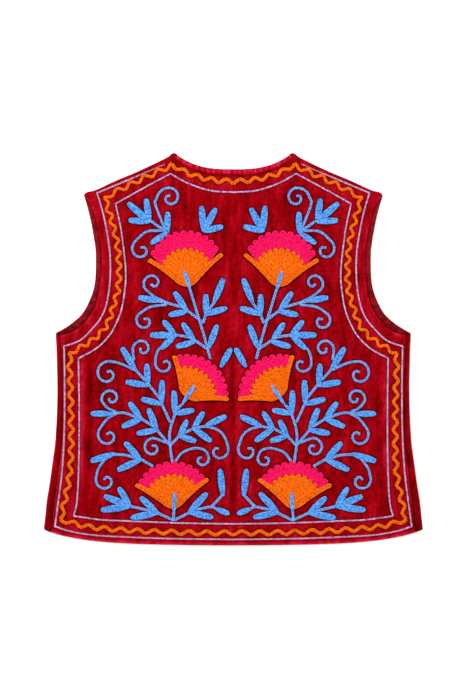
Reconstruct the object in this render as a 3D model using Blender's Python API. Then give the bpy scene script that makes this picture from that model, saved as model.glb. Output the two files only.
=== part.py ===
"""Embroidered folk vest, laid flat with its back up.

Three cut panels: the back on top, and the two fronts under it. Each front lies on the surface, turns
up round the side fold and ends in a narrow lip that meets the back at the side seam. The embroidery
stands proud of the back's outer face over a plain inner face.

Pattern sizes are in millimetres: x runs outwards from the centre line, y up from the lowest point of
the hem, z up from the surface that the vest lies on. The model is in metres, with its origin on that
surface under the middle of the vest's length.
"""
import math

import bmesh
import bpy
import numpy as np
from mathutils import Vector
from mathutils.geometry import delaunay_2d_cdt

MM = 0.001

# ---- Driving sizes of the garment -----------------------------------------------------------------
LENGTH = 530.0             # hem to neck point
HEM_HALF = 256.5           # half the width at the hem
HEM_DIP = 6.8              # how far the hem sweeps up towards its corners, evenly
HEM_CORNER_LIFT = 14.8     # and how much more it turns up in the last stretch
NECK_HALF = 79.5           # half the width of the back neck
NECK_DEPTH = 22.0
NECK_POWER = 2.8           # a high power keeps the middle of the neck flat
NECK_END = 75.5            # where the neck edge turns up to the blunt neck point
CLOTH = 1.8                # velvet with its backing
SEAM_GAP = 0.3             # between pieces that meet at a seam
FOLD_RADIUS = 3.0          # outside radius of the rolled side fold
UNDERARM_Y = 284.0
UNDERARM_SLOPE = 0.5       # how the front's armhole edge climbs from the side seam, over the fold
SEAM_INSET_UNDERARM = 5.5  # from the side fold in to the side seam
SEAM_INSET_HEM = 10.5
FRONT_GAP_HALF = 4.0       # half the space between the two front edges
TURNED_EDGE = 7.0          # width of the turned band at the neck and at the fronts' armholes
HEM_BAND = 5.0
BAND_RISE = 0.6            # extra thickness where an edge is turned in
BAND_STEP = 0.9            # width of the step at the band's inner side
EDGE_ROLL = 0.7            # how far a cut edge rounds down
EDGE_ROLL_WIDTH = 1.1

# Half width at the side fold, from the hem corner up to the underarm.
#            y      x
SIDE_FOLD = ((20, 256.5), (41, 254), (61, 252), (82, 248.5), (122, 243), (142, 240.5),
             (183, 238.3), (223, 238), (264, 239), (284, 240))

# The shoulder from the neck point out to the shoulder tip.
#           x      y
SHOULDER = ((75.5, 527), (76.9, 529.2), (79.7, 530), (82.4, 529.6), (85, 527.8), (90.4, 523.6), (128, 505.6),
            (157, 493.4), (184, 481), (191, 478.6), (196.5, 477.6), (200.3, 475.6), (202, 472.5))

# The armhole edge of the back, and of the front that shows beyond it, from the shoulder tip down.
#                x      y
BACK_ARMHOLE = ((202, 472.5), (193, 460), (187, 444), (181.4, 419), (178.3, 395), (178, 375), (180.6, 349),
                (185, 328), (193, 311), (203, 299), (216, 289), (227, 285))
FRONT_ARMHOLE = ((202, 472.5), (197, 455.6), (192, 434), (187.5, 408), (186, 390), (187, 358), (192, 337),
                 (203, 315), (216, 302), (229, 293))

# The front neckline, hidden under the back, from the neck point down to the front edge.
FRONT_NECK = ((75.5, 527), (66, 470), (40, 408), (4, 360))

# ---- How the cloth lies ---------------------------------------------------------------------------
BACK_LIFT = 2.7            # underside of the back at its edges: front, turned band and seam gap
BACK_LOFT = 0.9            # further up inside, where the layers lie loosely on each other
LOFT_REACH = 45.0          # distance from the edge over which the loft comes in
SIDE_RAMP = 34.0           # distance over which the back climbs to the side seam
RAMP_FADE = 30.0           # and over which that climb dies away above the underarm
CREASE_WIDTH = 7.0         # the trough down the centre of the back
CREASE_TOP = 330.0         # where the trough has faded out
CREASE_FADE = 165.0        # length over which it fades

# Soft folds of the back. A fold runs from x_low at y_low to x_high at y_high.
#        x_low  x_high  y_low  y_high  width  rise
FOLDS = ((-212, -197,   10,    300,    14,    2.0),
         (-168, -156,   -10,   250,    18,    1.6),
         (-118, -106,   -20,   340,    23,    1.2),
         (-60,  -68,    10,    440,    26,    1.0),
         (52,   67,     -10,   420,    25,    1.1),
         (114,  102,    -20,   350,    21,    1.4),
         (164,  152,    0,     260,    17,    1.7),
         (211,  199,    0,     290,    14,    2.1))
FOLD_FADE = 60.0           # length over which a fold dies away at each end

# ---- Embroidery -----------------------------------------------------------------------------------
FILL_RISE = 1.2            # filled leaves and fans above the velvet
ROW_RISE = 1.0             # single rows of thick chain stitch
FINE_ROW_RISE = 0.6        # the two fine rows of the border
BUD_RISE = 2.2             # a bud is worked over the fan that it grows in
FINE_ROW_WIDTH = 2.6
STEM_WIDTH = 5.2
TENDRIL_WIDTH = 4.8
ZIGZAG_WIDTH = 5.0
BUD_WIDTH = 5.8
BAR_WIDTH = 6.6            # the bar of stitches up each side of a fan
LEAF_BASE_WIDTH = 7.9      # a leaf's width is this, and a share of its length
LEAF_WIDTH_SHARE = 0.075
# A leaf: stations along it, and its half width there as a share of its full half width.
#             station  share
LEAF_SHAPE = ((0.0,    0.0), (0.12, 0.56), (0.55, 1.0), (0.88, 0.82), (1.0, 0.0))
LEAF_RIDGE = (0.0, 0.2, 0.55, 0.84, 1.0)
FAN_LOBES = 12
LOBE_POINTS = 3            # points that draw one lobe
LOBE_DEPTH = 3.8
FAN_EDGE = 3.0             # width over which a fan rises from its outline
FAN_GROOVE = 0.55          # height left in the groove between its two colours, as a share

# Fans: the point where the lines of their two sides would meet, the bearing of their axis (from straight
# up, outwards positive), half their spread, the radii of their flat base, of the orange and of the pink,
# the length of the side bars, and the share by which the radii are smaller at the sides.
#        x     y      bearing  spread  base  orange  pink  bar   shrink
FANS = ((61.6, 343.0, 4.7,     46,     11.3, 59.3,   83.5, 66.0, 0.19),
        (71.3, 188.6, -37.4,   43.5,   14.3, 55.9,   73.2, 64.8, 0.07),
        (78.6, 37.1,  5.1,     43.7,   16.5, 60.2,   78.0, 68.3, 0.12))

# Buds: a single thick row over each fan, from its foot to its tip.
BUDS = (((57, 342), (65.5, 368)),
        ((68, 193), (54.5, 214)),
        ((80, 44),  (80, 70)))

# Leaves, in sprigs: the foot they share, then the tip of each leaf.
#          x    y     tips
SPRIGS = ((113, 437, ((143, 463), (118, 469), (142, 439))),
          (90, 423,  ((89, 451), (112, 408))),
          (40, 424,  ((43, 459), (23, 456), (13, 431))),
          (37, 312,  ((37, 340), (8, 321))),
          (26, 328,  ((13, 361),)),
          (62, 316,  ((80, 343), (88, 311))),
          (101, 330, ((129, 335),)),
          (52, 275,  ((69, 301), (78, 268))),
          (78, 284,  ((95, 304), (113, 284), (98, 265))),
          (33, 267,  ((22, 299),)),
          (17, 241,  ((2.5, 267),)),
          (97, 191,  ((96, 224), (125, 198))),
          (115, 216, ((117, 246), (146, 221))),
          (132, 237, ((151, 268),)),
          (103, 156, ((115, 186), (131, 151))),
          (124, 171, ((141, 194), (151, 160))),
          (166, 178, ((193, 178),)),
          (79, 178,  ((80, 210), (52, 183))),
          (73, 148,  ((63, 170), (50, 141))),
          (54, 158,  ((41, 181), (30, 141))),
          (37, 162,  ((9, 176),)),
          (125, 116, ((147, 140), (156, 102))),
          (160, 124, ((193, 115),)),
          (102, 44,  ((125, 66), (138, 38))),
          (139, 53,  ((155, 79), (175, 68), (179, 47))),
          (60, 45,   ((37, 72), (27, 38))),
          (14, 67,   ((18, 104),)),
          (28, 51,   ((6, 43),)))

# Stems, each through a few places from its root to where it ends in a leaf, a fan or another stem.
STEMS = (((111, 438), (100, 430), (91, 424)),
         ((60, 350), (50, 318), (40, 285), (31, 252)),
         ((41, 300), (37, 312)),
         ((33, 318), (26, 328)),
         ((42, 302), (62, 317)),
         ((66, 321), (88, 327), (101, 330)),
         ((33, 264), (52, 277)),
         ((56, 281), (77, 284)),
         ((83, 113), (86, 135), (86, 155), (79, 178)),
         ((79, 180), (68, 193)),
         ((85, 166), (96, 190)),
         ((98, 197), (114, 217)),
         ((119, 223), (132, 237)),
         ((86, 136), (102, 155)),
         ((108, 161), (124, 171)),
         ((130, 173), (148, 179), (166, 178)),
         ((86, 134), (73, 148)),
         ((68, 151), (54, 158)),
         ((49, 159), (37, 161)),
         ((108, 107), (124, 116)),
         ((131, 118), (145, 123), (160, 124)),
         ((80, 34), (102, 44)),
         ((112, 47), (139, 53)),
         ((80, 34), (60, 44)),
         ((52, 48), (30, 52)),
         ((30, 52), (22, 60), (15, 68)),
         ((81, 34), (80, 50)))

# Tendrils: the way out from the stem, then the centre that the end curls in to.
#            way out                                      curl x  curl y
TENDRILS = ((((92, 426), (106, 457), (101, 474), (88, 485.5)),   85.5,   472),
            (((95, 425), (118, 423), (134.5, 409.8)),            124.3,  400.6),
            (((88, 327), (105, 337), (118, 349)),                110.8,  356.7),
            (((90, 325), (112, 322), (128.4, 311.4)),            120.2,  304),
            (((98, 265), (103.7, 251.5)),                        93.2,   245.8),
            (((134, 250), (135.6, 262.6)),                       125,    266.6),
            (((140, 239), (155, 246), (168.2, 248.6)),           170.8,  234.6),
            (((158, 180), (170, 186), (177, 195.5)),             165.8,  199.1),
            (((158, 178), (170, 171), (180, 158)),               170.2,  149.6),
            (((90, 139), (100.7, 144.2)),                        109,    134.7),
            (((78, 114), (68, 126), (54, 132.5), (39.5, 131)),   43.3,   119.3),
            (((37, 161), (22, 156.5), (13, 148.5), (9, 136.5)),  20,     131.2),
            (((172, 118), (182, 105.5), (186, 95)),              173.2,  90.1))
CURL_TURN = 400.0          # degrees that a curl winds through
CURL_END_RADIUS = 2.4
CURL_STEP = 36.0           # degrees between the points along a curl
CURL_TIGHTEN = 1.7         # a higher power keeps a curl wide for longer before it closes

# The border: the mean line of the zigzag, and a fine row to each side of it, from the centre of the
# neck round to the centre of the hem. The outer row leaves out the neck. Each stretch ends in a corner.
#                 period of the waves, knots of the mean line
ZIGZAG_STRETCHES = ((24,   ((0, 493), (30, 496), (60, 504), (84, 517.5))),
                    (22,   ((84, 517.5), (95, 509.5), (130, 494), (174.6, 471))),
                    (18.5, ((174.6, 471), (163, 435), (155.5, 397), (154.7, 352), (161.6, 323.6),
                            (170, 299), (184, 282), (203, 269), (221.5, 260))),
                    (18.3, ((221.5, 260), (219.5, 180), (220, 110), (226, 70), (233.4, 36))),
                    (23,   ((233.4, 36), (200, 27), (150, 22), (100, 19.5), (50, 18), (0, 18))))
ZIGZAG_SWING = 3.0         # to each side of the mean line
INNER_ROW = (((0, 477), (30, 479), (60, 488.5), (85, 502)),
             ((85, 502), (122, 482), (158.5, 461.5)),
             ((158.5, 461.5), (151, 430), (146.5, 396), (144.7, 370), (146, 349), (151, 318.5), (159, 298),
              (168.5, 282), (185, 266), (209, 252.5)),
             ((209, 252.5), (208, 180), (208.5, 110), (211, 60), (216, 41)),
             ((216, 41), (170, 36), (120, 32), (60, 30), (0, 29)))
OUTER_ROW = (((92, 515), (140, 494.5), (184, 476)),
             ((184, 476), (175.5, 447), (168.5, 410), (166, 382), (167, 353), (171, 327), (179, 307),
              (191, 292), (204, 279), (214, 273.5), (228.5, 269)),
             ((228.5, 269), (227.6, 215), (228.3, 150), (231.5, 98), (236.5, 57), (240.8, 26)),
             ((240.8, 26), (222, 19.5), (192, 14.2), (150, 11.5), (80, 9), (0, 8)))

# ---- Mesh fineness --------------------------------------------------------------------------------
EDGE_SPACING = 13.0
LONG_EDGE_SPACING = 26.0   # along the straighter edges and rows
FINE_SPACING = 2.0         # along a line that is only measured
FOLD_SEGMENTS = 6          # round the side fold
FOLD_ROW_SPACING = 26.0
GRID_ACROSS = 17.0         # folds run up the panel, so points lie closer across it
GRID_ALONG = 34.0
FRONT_GRID = 44.0
GRID_CLEARANCE = 7.5       # free points keep this far from every drawn line
MERGE_DISTANCE = 0.35
FLAT_CLEARANCE = 1.5       # the front's flat ends this far before its side fold
LEAST_STRETCH = 0.6        # limits how far an offset reaches out at a sharp corner
LEAST_RISE = 0.05          # lower faces of an embroidered form stay velvet
LEAST_UPWARD = 0.2         # a face of the outer side has a normal that points up at least this much
SHARP_ANGLE = 35.0

COLOURS = {
    "velvet_red": ((0.292, 0.0026, 0.0091, 1.0), 0.85),
    "thread_blue": ((0.117, 0.319, 0.745, 1.0), 0.6),
    "thread_lavender": ((0.42, 0.35, 0.7, 1.0), 0.6),
    "thread_orange": ((0.93, 0.144, 0.01, 1.0), 0.55),
    "thread_pink": ((0.93, 0.009, 0.109, 1.0), 0.55),
}


# ---- Curves ---------------------------------------------------------------------------------------
def curve_through(knots, spacing):
    """Points about `spacing` apart on a smooth curve through the knots, its ends included."""
    knots = [np.array(knot, float) for knot in knots]
    lead_in = 2 * knots[0] - knots[1]
    lead_out = 2 * knots[-1] - knots[-2]
    guides = [lead_in] + knots + [lead_out]
    points = []
    for before, start, end, after in zip(guides, guides[1:], guides[2:], guides[3:]):
        steps = max(1, round(float(np.linalg.norm(end - start)) / spacing))
        for step in range(steps):
            t = step / steps
            points.append(0.5 * (2 * start + (end - before) * t
                                 + (2 * before - 5 * start + 4 * end - after) * t ** 2
                                 + (3 * start - before - 3 * end + after) * t ** 3))
    points.append(knots[-1])
    return [tuple(float(value) for value in point) for point in points]


def evenly(first, last, spacing):
    """Values from first to last, about `spacing` apart."""
    return [float(value) for value in np.linspace(first, last, 1 + max(1, round(abs(last - first) / spacing)))]


def joined(*stretches):
    """One path from stretches that each start where the one before ends."""
    path = [stretches[0][0]]
    for stretch in stretches:
        path += stretch[1:]
    return path


def normals(path, closed=False):
    """The direction to the left of the path at each point, lengthened at corners to keep offsets even."""
    points = np.array(path, float)
    ahead = np.roll(points, -1, axis=0) - points
    behind = points - np.roll(points, 1, axis=0)
    if not closed:
        ahead[-1] = behind[-1]
        behind[0] = ahead[0]
    ahead /= np.linalg.norm(ahead, axis=1, keepdims=True)
    behind /= np.linalg.norm(behind, axis=1, keepdims=True)
    across = ahead + behind
    across /= np.linalg.norm(across, axis=1, keepdims=True)
    stretch = np.maximum(LEAST_STRETCH, np.sum(across * ahead, axis=1, keepdims=True))
    return np.stack([-across[:, 1], across[:, 0]], axis=1) / stretch


def beside(path, distance, closed=False):
    """The path moved to its left by a distance."""
    moved = np.array(path, float) + distance * normals(path, closed)
    return [tuple(point) for point in moved.tolist()]


def nearest_distance(points, path):
    """Each point's distance to the path."""
    best = np.full(len(points), np.inf)
    for start, end in zip(path, path[1:]):
        start = np.array(start)
        run = np.array(end) - start
        share = np.clip((points - start) @ run / (run @ run), 0, 1)
        gap = points - start - share[:, None] * run
        best = np.minimum(best, np.hypot(gap[:, 0], gap[:, 1]))
    return best


def eased(value):
    """Rises smoothly from 0 to 1 as the value goes from 0 to 1."""
    value = np.clip(value, 0, 1)
    return value * value * (3 - 2 * value)


# ---- The garment's cut ----------------------------------------------------------------------------
SIDE_CURVE = np.array(curve_through([(x, y) for y, x in SIDE_FOLD], FINE_SPACING))


def side_fold_x(y):
    return np.interp(y, SIDE_CURVE[:, 1], SIDE_CURVE[:, 0])


def side_seam_x(y):
    inset = np.interp(y, (SIDE_FOLD[0][0], UNDERARM_Y), (SEAM_INSET_HEM, SEAM_INSET_UNDERARM))
    return side_fold_x(y) - inset


def hem_y(x):
    share = np.abs(x) / HEM_HALF
    return HEM_DIP * share ** 2 + HEM_CORNER_LIFT * share ** 6


def neck_y(x):
    return LENGTH - NECK_DEPTH * (1 - (np.abs(x) / NECK_HALF) ** NECK_POWER)


def mirrored(path):
    return [(-x, y) for x, y in path]


def back_outline():
    """The back's edge, anticlockwise from the centre of the hem."""
    hem_corner = side_seam_x(hem_y(HEM_HALF - SEAM_INSET_HEM)) - SEAM_GAP / 2
    hem = [(x, float(hem_y(x))) for x in evenly(0, hem_corner, LONG_EDGE_SPACING)]
    side_rows = evenly(hem[-1][1], UNDERARM_Y, LONG_EDGE_SPACING)
    side = [(float(side_seam_x(y)) - SEAM_GAP / 2, y) for y in side_rows]
    armhole = curve_through((side[-1],) + BACK_ARMHOLE[::-1], EDGE_SPACING)
    shoulder = list(SHOULDER[::-1])
    neck = [(x, float(neck_y(x))) for x in evenly(NECK_END, 0, EDGE_SPACING)]
    half = joined(hem, side, armhole, shoulder, neck)
    return half + mirrored(half)[-2:0:-1]


# The side fold in the front's pattern: how far past its start each line lies.
FOLD_MID_RADIUS = FOLD_RADIUS - CLOTH / 2
FOLD_LINES = [math.pi * FOLD_MID_RADIUS * k / FOLD_SEGMENTS for k in range(FOLD_SEGMENTS + 1)]


def fold_start(y):
    return side_fold_x(y) - FOLD_RADIUS


def lip_end(y):
    """Where the front ends at the side seam, in the flat pattern."""
    return float(2 * fold_start(y) + FOLD_LINES[-1] - side_seam_x(y) - SEAM_GAP / 2)


def front_lies_at(u, y, radius):
    """Where a point of the front's pattern lies: its x and z, on the face at this radius of the fold."""
    past = u - fold_start(y)
    turn = np.clip(past / FOLD_MID_RADIUS, 0, math.pi)
    flat = np.minimum(past, 0) - np.maximum(past - FOLD_LINES[-1], 0)
    return fold_start(y) + flat + radius * np.sin(turn), FOLD_RADIUS - radius * np.cos(turn)


def front_hem_y(u):
    x, _ = front_lies_at(u, SIDE_FOLD[0][0], FOLD_RADIUS)
    return float(hem_y(min(float(x), HEM_HALF)))


def front_outline():
    """One front's edge in its flat pattern, anticlockwise from its front hem corner."""
    corner_y = SIDE_FOLD[0][0]
    start = float(fold_start(corner_y))
    hem_stops = evenly(FRONT_GAP_HALF, start, LONG_EDGE_SPACING)
    hem_stops += [start + past for past in FOLD_LINES[1:]] + [lip_end(corner_y)]
    hem = [(u, front_hem_y(u)) for u in hem_stops]
    seam = [(lip_end(y), y) for y in evenly(hem[-1][1], UNDERARM_Y, FOLD_ROW_SPACING)]
    top_stops = [float(fold_start(UNDERARM_Y)) + past for past in FOLD_LINES[::-1]]
    fold_tops = [(u, UNDERARM_Y + UNDERARM_SLOPE * (seam[-1][0] - u)) for u in top_stops]
    armhole = curve_through(FRONT_ARMHOLE[::-1], EDGE_SPACING)
    neck = curve_through(FRONT_NECK, LONG_EDGE_SPACING)
    front_edge = [(FRONT_GAP_HALF, y) for y in evenly(neck[-1][1], hem[0][1], FRONT_GRID)]
    outline = joined(hem, seam) + fold_tops + joined(armhole, list(SHOULDER[::-1]), neck, front_edge)
    return outline[:-1]


def fold_lines(outline):
    """Lines up the side fold, from the hem to the underarm, that share the outline's own points."""
    lines = []
    for past in FOLD_LINES:
        ends = []
        for end_y in (SIDE_FOLD[0][0], UNDERARM_Y):
            level = [point for point in outline if (point[1] > LENGTH / 2) == (end_y > LENGTH / 2)]
            ends.append(min(level, key=lambda point: abs(point[0] - fold_start(end_y) - past)))
        rows = evenly(ends[0][1], ends[1][1], FOLD_ROW_SPACING)[1:-1]
        lines.append([ends[0]] + [(float(fold_start(y)) + past, y) for y in rows] + [ends[1]])
    return lines


# ---- Embroidered forms: the lines they draw on the panel, and their height above it ---------------
def row_form(path, width, rise=ROW_RISE, closed=False):
    """One row of chain stitch: a ridge along a path."""
    if closed:
        path = path + path[:1]
        sides = [beside(path[:-1], side * width / 2, True) for side in (-1, 1)]
        lines = [path] + [side + side[:1] for side in sides]
    else:
        first, last = np.array(path[0]), np.array(path[-1])
        start_cap = first + (first - np.array(path[1])) / np.linalg.norm(first - path[1]) * width / 2
        end_cap = last + (last - np.array(path[-2])) / np.linalg.norm(last - path[-2]) * width / 2
        lines = [path, [tuple(start_cap)] + beside(path, width / 2) + [tuple(end_cap)],
                 [tuple(start_cap)] + beside(path, -width / 2) + [tuple(end_cap)]]

    def height(points):
        return rise * np.clip(1 - nearest_distance(points, path) / (width / 2), 0, 1)

    return lines, height


def leaf_form(foot, tip):
    """One filled leaf, widest past its middle."""
    foot, tip = np.array(foot, float), np.array(tip, float)
    length = float(np.linalg.norm(tip - foot))
    along = (tip - foot) / length
    across = np.array([-along[1], along[0]])
    half_width = (LEAF_BASE_WIDTH + LEAF_WIDTH_SHARE * length) / 2
    edges = [[tuple(foot + station * length * along + side * share * half_width * across)
              for station, share in LEAF_SHAPE] for side in (-1, 1)]
    ridge = [tuple(foot + station * length * along) for station in LEAF_RIDGE]
    stations, shares = zip(*LEAF_SHAPE)

    def height(points):
        station = (points - foot) @ along / length
        edge = half_width * np.interp(station, stations, shares, 0, 0)
        return FILL_RISE * np.clip((edge - np.abs((points - foot) @ across)) / half_width, 0, 1)

    return edges + [ridge], height


def fan_form(apex, bearing, spread, base, inner, outer, shrink):
    """One fan flower: a filled wedge with a groove between its colours and a scalloped outer edge."""
    apex = np.array(apex, float)
    bearing, spread = math.radians(bearing), math.radians(spread)

    def narrowed(reach, turn):
        return reach * (1 - shrink * np.clip(turn / spread, -1, 1) ** 2)

    def spot(turn, reach):
        return tuple((apex + reach * np.array((math.sin(bearing + turn), math.cos(bearing + turn)))).tolist())

    def arc(reach):
        inner_spread = spread - FAN_EDGE / reach
        stops = np.linspace(-inner_spread, inner_spread, FAN_LOBES // 2 + 1)
        return [spot(turn, narrowed(reach, turn)) for turn in stops]

    turns = np.linspace(-spread, spread, LOBE_POINTS * FAN_LOBES + 1)
    in_lobe = np.arange(len(turns)) % LOBE_POINTS > 0
    reaches = narrowed(np.where(in_lobe, outer, outer - LOBE_DEPTH), turns)
    rim = [spot(turn, reach) for turn, reach in zip(turns, reaches)]
    corners = [spot(turn, base) for turn in (-spread, spread)]
    outline = corners[:1] + rim + corners[::-1]
    lines = [outline, arc(inner / 2), arc(inner - FAN_EDGE), arc(inner), arc(inner + FAN_EDGE),
             arc(outer - LOBE_DEPTH - FAN_EDGE)]

    def height(points):
        offset = points - apex
        reach = np.hypot(offset[:, 0], offset[:, 1])
        turn = (np.arctan2(offset[:, 0], offset[:, 1]) - bearing + math.pi) % (2 * math.pi) - math.pi
        to_rim = np.interp(turn, turns, reaches) - reach
        to_side = reach * np.sin(np.clip(spread - np.abs(turn), -1, 1))
        to_base = reach * np.cos(turn) - base * math.cos(spread)
        rise = np.clip(np.minimum(np.minimum(to_rim, to_side), to_base) / FAN_EDGE, 0, 1)
        from_groove = np.abs(reach - narrowed(inner, turn))
        groove = 1 - FAN_GROOVE * np.clip(1 - from_groove / FAN_EDGE, 0, 1)
        return FILL_RISE * rise * groove

    return lines, height, (apex, inner)


def curl_path(way_out, curl_x, curl_y):
    """A tendril: smooth out to its last place, then winding in round the curl's centre."""
    centre = np.array((curl_x, curl_y), float)
    last, before = np.array(way_out[-1], float), np.array(way_out[-2], float)
    arm = last - centre
    heading = last - before
    side = 1 if arm[0] * heading[1] - arm[1] * heading[0] > 0 else -1
    start_radius = float(np.linalg.norm(arm))
    start_angle = math.atan2(arm[1], arm[0])
    steps = round(CURL_TURN / CURL_STEP)
    path = curve_through(way_out, LONG_EDGE_SPACING)
    for step in range(1, steps + 1):
        share = step / steps
        radius = CURL_END_RADIUS + (start_radius - CURL_END_RADIUS) * (1 - share ** CURL_TIGHTEN)
        angle = start_angle + side * math.radians(CURL_TURN) * share
        path.append(tuple((centre + radius * np.array((math.cos(angle), math.sin(angle)))).tolist()))
    return path


def zigzag_path():
    """The zigzag, all round the back: its corners swing to each side of the mean line in turn."""
    half = []
    for period, knots in ZIGZAG_STRETCHES:
        fine = np.array(curve_through(knots, FINE_SPACING))
        steps = np.hypot(*np.diff(fine, axis=0).T)
        run = np.concatenate([[0], np.cumsum(steps)])
        swings = 2 * max(1, round(run[-1] / period))
        stops = np.linspace(0, run[-1], swings + 1)[:-1]
        places = np.stack([np.interp(stops, run, fine[:, axis]) for axis in (0, 1)], axis=1)
        left = normals(places.tolist())
        left /= np.linalg.norm(left, axis=1, keepdims=True)
        swing = np.where(np.arange(swings) % 2, -ZIGZAG_SWING, ZIGZAG_SWING)
        if half:
            swing[0] = 0.0     # a corner of the mean line is itself the tip of a wave
        half += (places + left * swing[:, None]).tolist()
    end_x, end_y = knots[-1]
    half.append([end_x, end_y - ZIGZAG_SWING])
    half[0][0] = 0.0
    path = [tuple(point) for point in half]
    return path + mirrored(path)[-2:0:-1]


def fine_row_path(stretches):
    """A fine border row of one half: smooth along each stretch, sharp where two stretches meet."""
    return joined(*[curve_through(knots, LONG_EDGE_SPACING) for knots in stretches])


def embroidery():
    """Every embroidered form on the back, as (colour name, lines, height function)."""
    forms = []
    for side in (1, -1):
        def placed(point):
            return (side * point[0], point[1])

        for x, y, bearing, spread, base, inner, outer, bar, shrink in FANS:
            lines, height, colour_split = fan_form(placed((x, y)), side * bearing, spread, base, inner, outer,
                                                   shrink)
            forms.append((colour_split, lines, height))
            for edge in (-spread, spread):
                turn = math.radians(bearing + edge)
                ends = [placed((x + out * math.sin(turn), y + out * math.cos(turn))) for out in (base, bar)]
                forms.append(("thread_orange", *row_form(ends, BAR_WIDTH)))
        for knots in BUDS:
            path = [placed(knot) for knot in knots]
            forms.append(("thread_blue", *row_form(path, BUD_WIDTH, BUD_RISE)))
        for knots in STEMS:
            path = [placed(knot) for knot in knots]
            forms.append(("thread_blue", *row_form(path, STEM_WIDTH)))
        for x, y, tips in SPRIGS:
            for tip in tips:
                forms.append(("thread_blue", *leaf_form(placed((x, y)), placed(tip))))
        for way_out, curl_x, curl_y in TENDRILS:
            path = [placed(point) for point in curl_path(way_out, curl_x, curl_y)]
            forms.append(("thread_blue", *row_form(path, TENDRIL_WIDTH)))
    forms.append(("thread_orange", *row_form(zigzag_path(), ZIGZAG_WIDTH, closed=True)))
    inner_half = fine_row_path(INNER_ROW)
    inner_row = inner_half + mirrored(inner_half)[-2:0:-1]
    forms.append(("thread_lavender", *row_form(inner_row, FINE_ROW_WIDTH, FINE_ROW_RISE, closed=True)))
    outer_half = fine_row_path(OUTER_ROW)
    outer_row = outer_half + mirrored(outer_half)[-2::-1]
    forms.append(("thread_lavender", *row_form(outer_row, FINE_ROW_WIDTH, FINE_ROW_RISE)))
    return forms


def tallest(points, forms):
    """The height of the embroidery at each point, and the colour that stands highest there."""
    best = np.zeros(len(points))
    colour = np.zeros(len(points), int)
    names = list(COLOURS)
    for look, _, height in forms:
        rise = height(points)
        if isinstance(look, str):
            index = np.full(len(points), names.index(look))
        else:
            apex, inner = look
            reach = np.hypot(*(points - apex).T)
            index = np.where(reach < inner, names.index("thread_orange"), names.index("thread_pink"))
        above = rise > best
        colour = np.where(above, index, colour)
        best = np.maximum(best, rise)
    return best, colour


# ---- How the back lies ----------------------------------------------------------------------------
def back_underside(points, outline):
    """Height of the back's plain inner face."""
    x, y = points[:, 0], points[:, 1]
    closed = outline + outline[:1]
    inwards = eased(nearest_distance(points, closed) / LOFT_REACH)
    crease = np.exp(-(x / CREASE_WIDTH) ** 2) * eased((CREASE_TOP - y) / CREASE_FADE)
    height = BACK_LIFT + BACK_LOFT * inwards * (1 - crease)
    for x_low, x_high, y_low, y_high, width, rise in FOLDS:
        along = (y - y_low) / (y_high - y_low)
        middle = x_low + (x_high - x_low) * along
        ends = eased((y - y_low) / FOLD_FADE) * eased((y_high - y) / FOLD_FADE)
        height = height + rise * ends * inwards * np.exp(-((x - middle) / width) ** 2)
    lip_height = 2 * FOLD_RADIUS - CLOTH - BACK_LIFT
    near_seam = eased(1 - (side_seam_x(y) - np.abs(x)) / SIDE_RAMP)
    below_armhole = eased((UNDERARM_Y + RAMP_FADE - y) / RAMP_FADE)
    return height + lip_height * near_seam * below_armhole


def back_bands(points):
    """Extra thickness of the turned bands at the neck and the hem."""
    x, y = points[:, 0], points[:, 1]
    from_neck = np.where(np.abs(x) < NECK_HALF, neck_y(np.minimum(np.abs(x), NECK_HALF)) - y, LENGTH)
    from_hem = y - hem_y(x)
    neck = np.clip((TURNED_EDGE + BAND_STEP - from_neck) / BAND_STEP, 0, 1)
    hem = np.clip((HEM_BAND + BAND_STEP - from_hem) / BAND_STEP, 0, 1)
    return BAND_RISE * np.maximum(neck, hem)


def band_lines():
    """Both sides of the step at the inner edge of the neck band and of the hem band."""
    lines = []
    for step in (0, BAND_STEP):
        neck_reach = NECK_END - TURNED_EDGE / 2
        neck_stops = evenly(-neck_reach, neck_reach, EDGE_SPACING)
        lines.append([(x, float(neck_y(x)) - TURNED_EDGE - step) for x in neck_stops])
        hem_reach = HEM_HALF - SEAM_INSET_HEM - HEM_BAND / 2
        hem_stops = evenly(-hem_reach, hem_reach, LONG_EDGE_SPACING)
        lines.append([(x, float(hem_y(x)) + HEM_BAND + step) for x in hem_stops])
    return lines


# ---- Meshing --------------------------------------------------------------------------------------
def inside(point, outline):
    """Whether a point lies inside a closed outline."""
    x, y = point
    crossings = 0
    for (x1, y1), (x2, y2) in zip(outline, outline[1:] + outline[:1]):
        if (y1 > y) != (y2 > y) and x < x1 + (y - y1) / (y2 - y1) * (x2 - x1):
            crossings += 1
    return crossings % 2 == 1


def free_points(outline, lines, across, along):
    """Points of an even grid that lie inside the outline and clear of every line."""
    drawn = np.array([point for line in lines + [outline] for point in line])
    low, high = drawn.min(axis=0), drawn.max(axis=0)
    points = []
    for row, y in enumerate(evenly(low[1], high[1], along)):
        for x in evenly(low[0], high[0], across):
            spot = (x + (row % 2) * across / 2, y)
            gap = np.hypot(*(drawn - spot).T).min()
            if gap > GRID_CLEARANCE and inside(spot, outline):
                points.append(spot)
    return points


def laid_out(outline, lines, points):
    """Triangles that fill the outline, with every line along their edges.

    Returns the plan's points, its triangles, and where each point of the outline is among them.
    """
    spots = [Vector(point) for point in outline]
    edges = []
    for line in lines:
        first = len(spots)
        spots += [Vector(point) for point in line]
        edges += [(first + step, first + step + 1) for step in range(len(line) - 1)]
    spots += [Vector(point) for point in points]
    face = list(range(len(outline)))
    plan, _, triangles, sources, _, _ = delaunay_2d_cdt(spots, edges, [face], 1, MERGE_DISTANCE)
    border = {}
    for index, source in enumerate(sources):
        for number in source:
            if number < len(outline):
                border[number] = index
    return np.array([tuple(spot) for spot in plan]), triangles, [border[k] for k in range(len(outline))]


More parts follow.
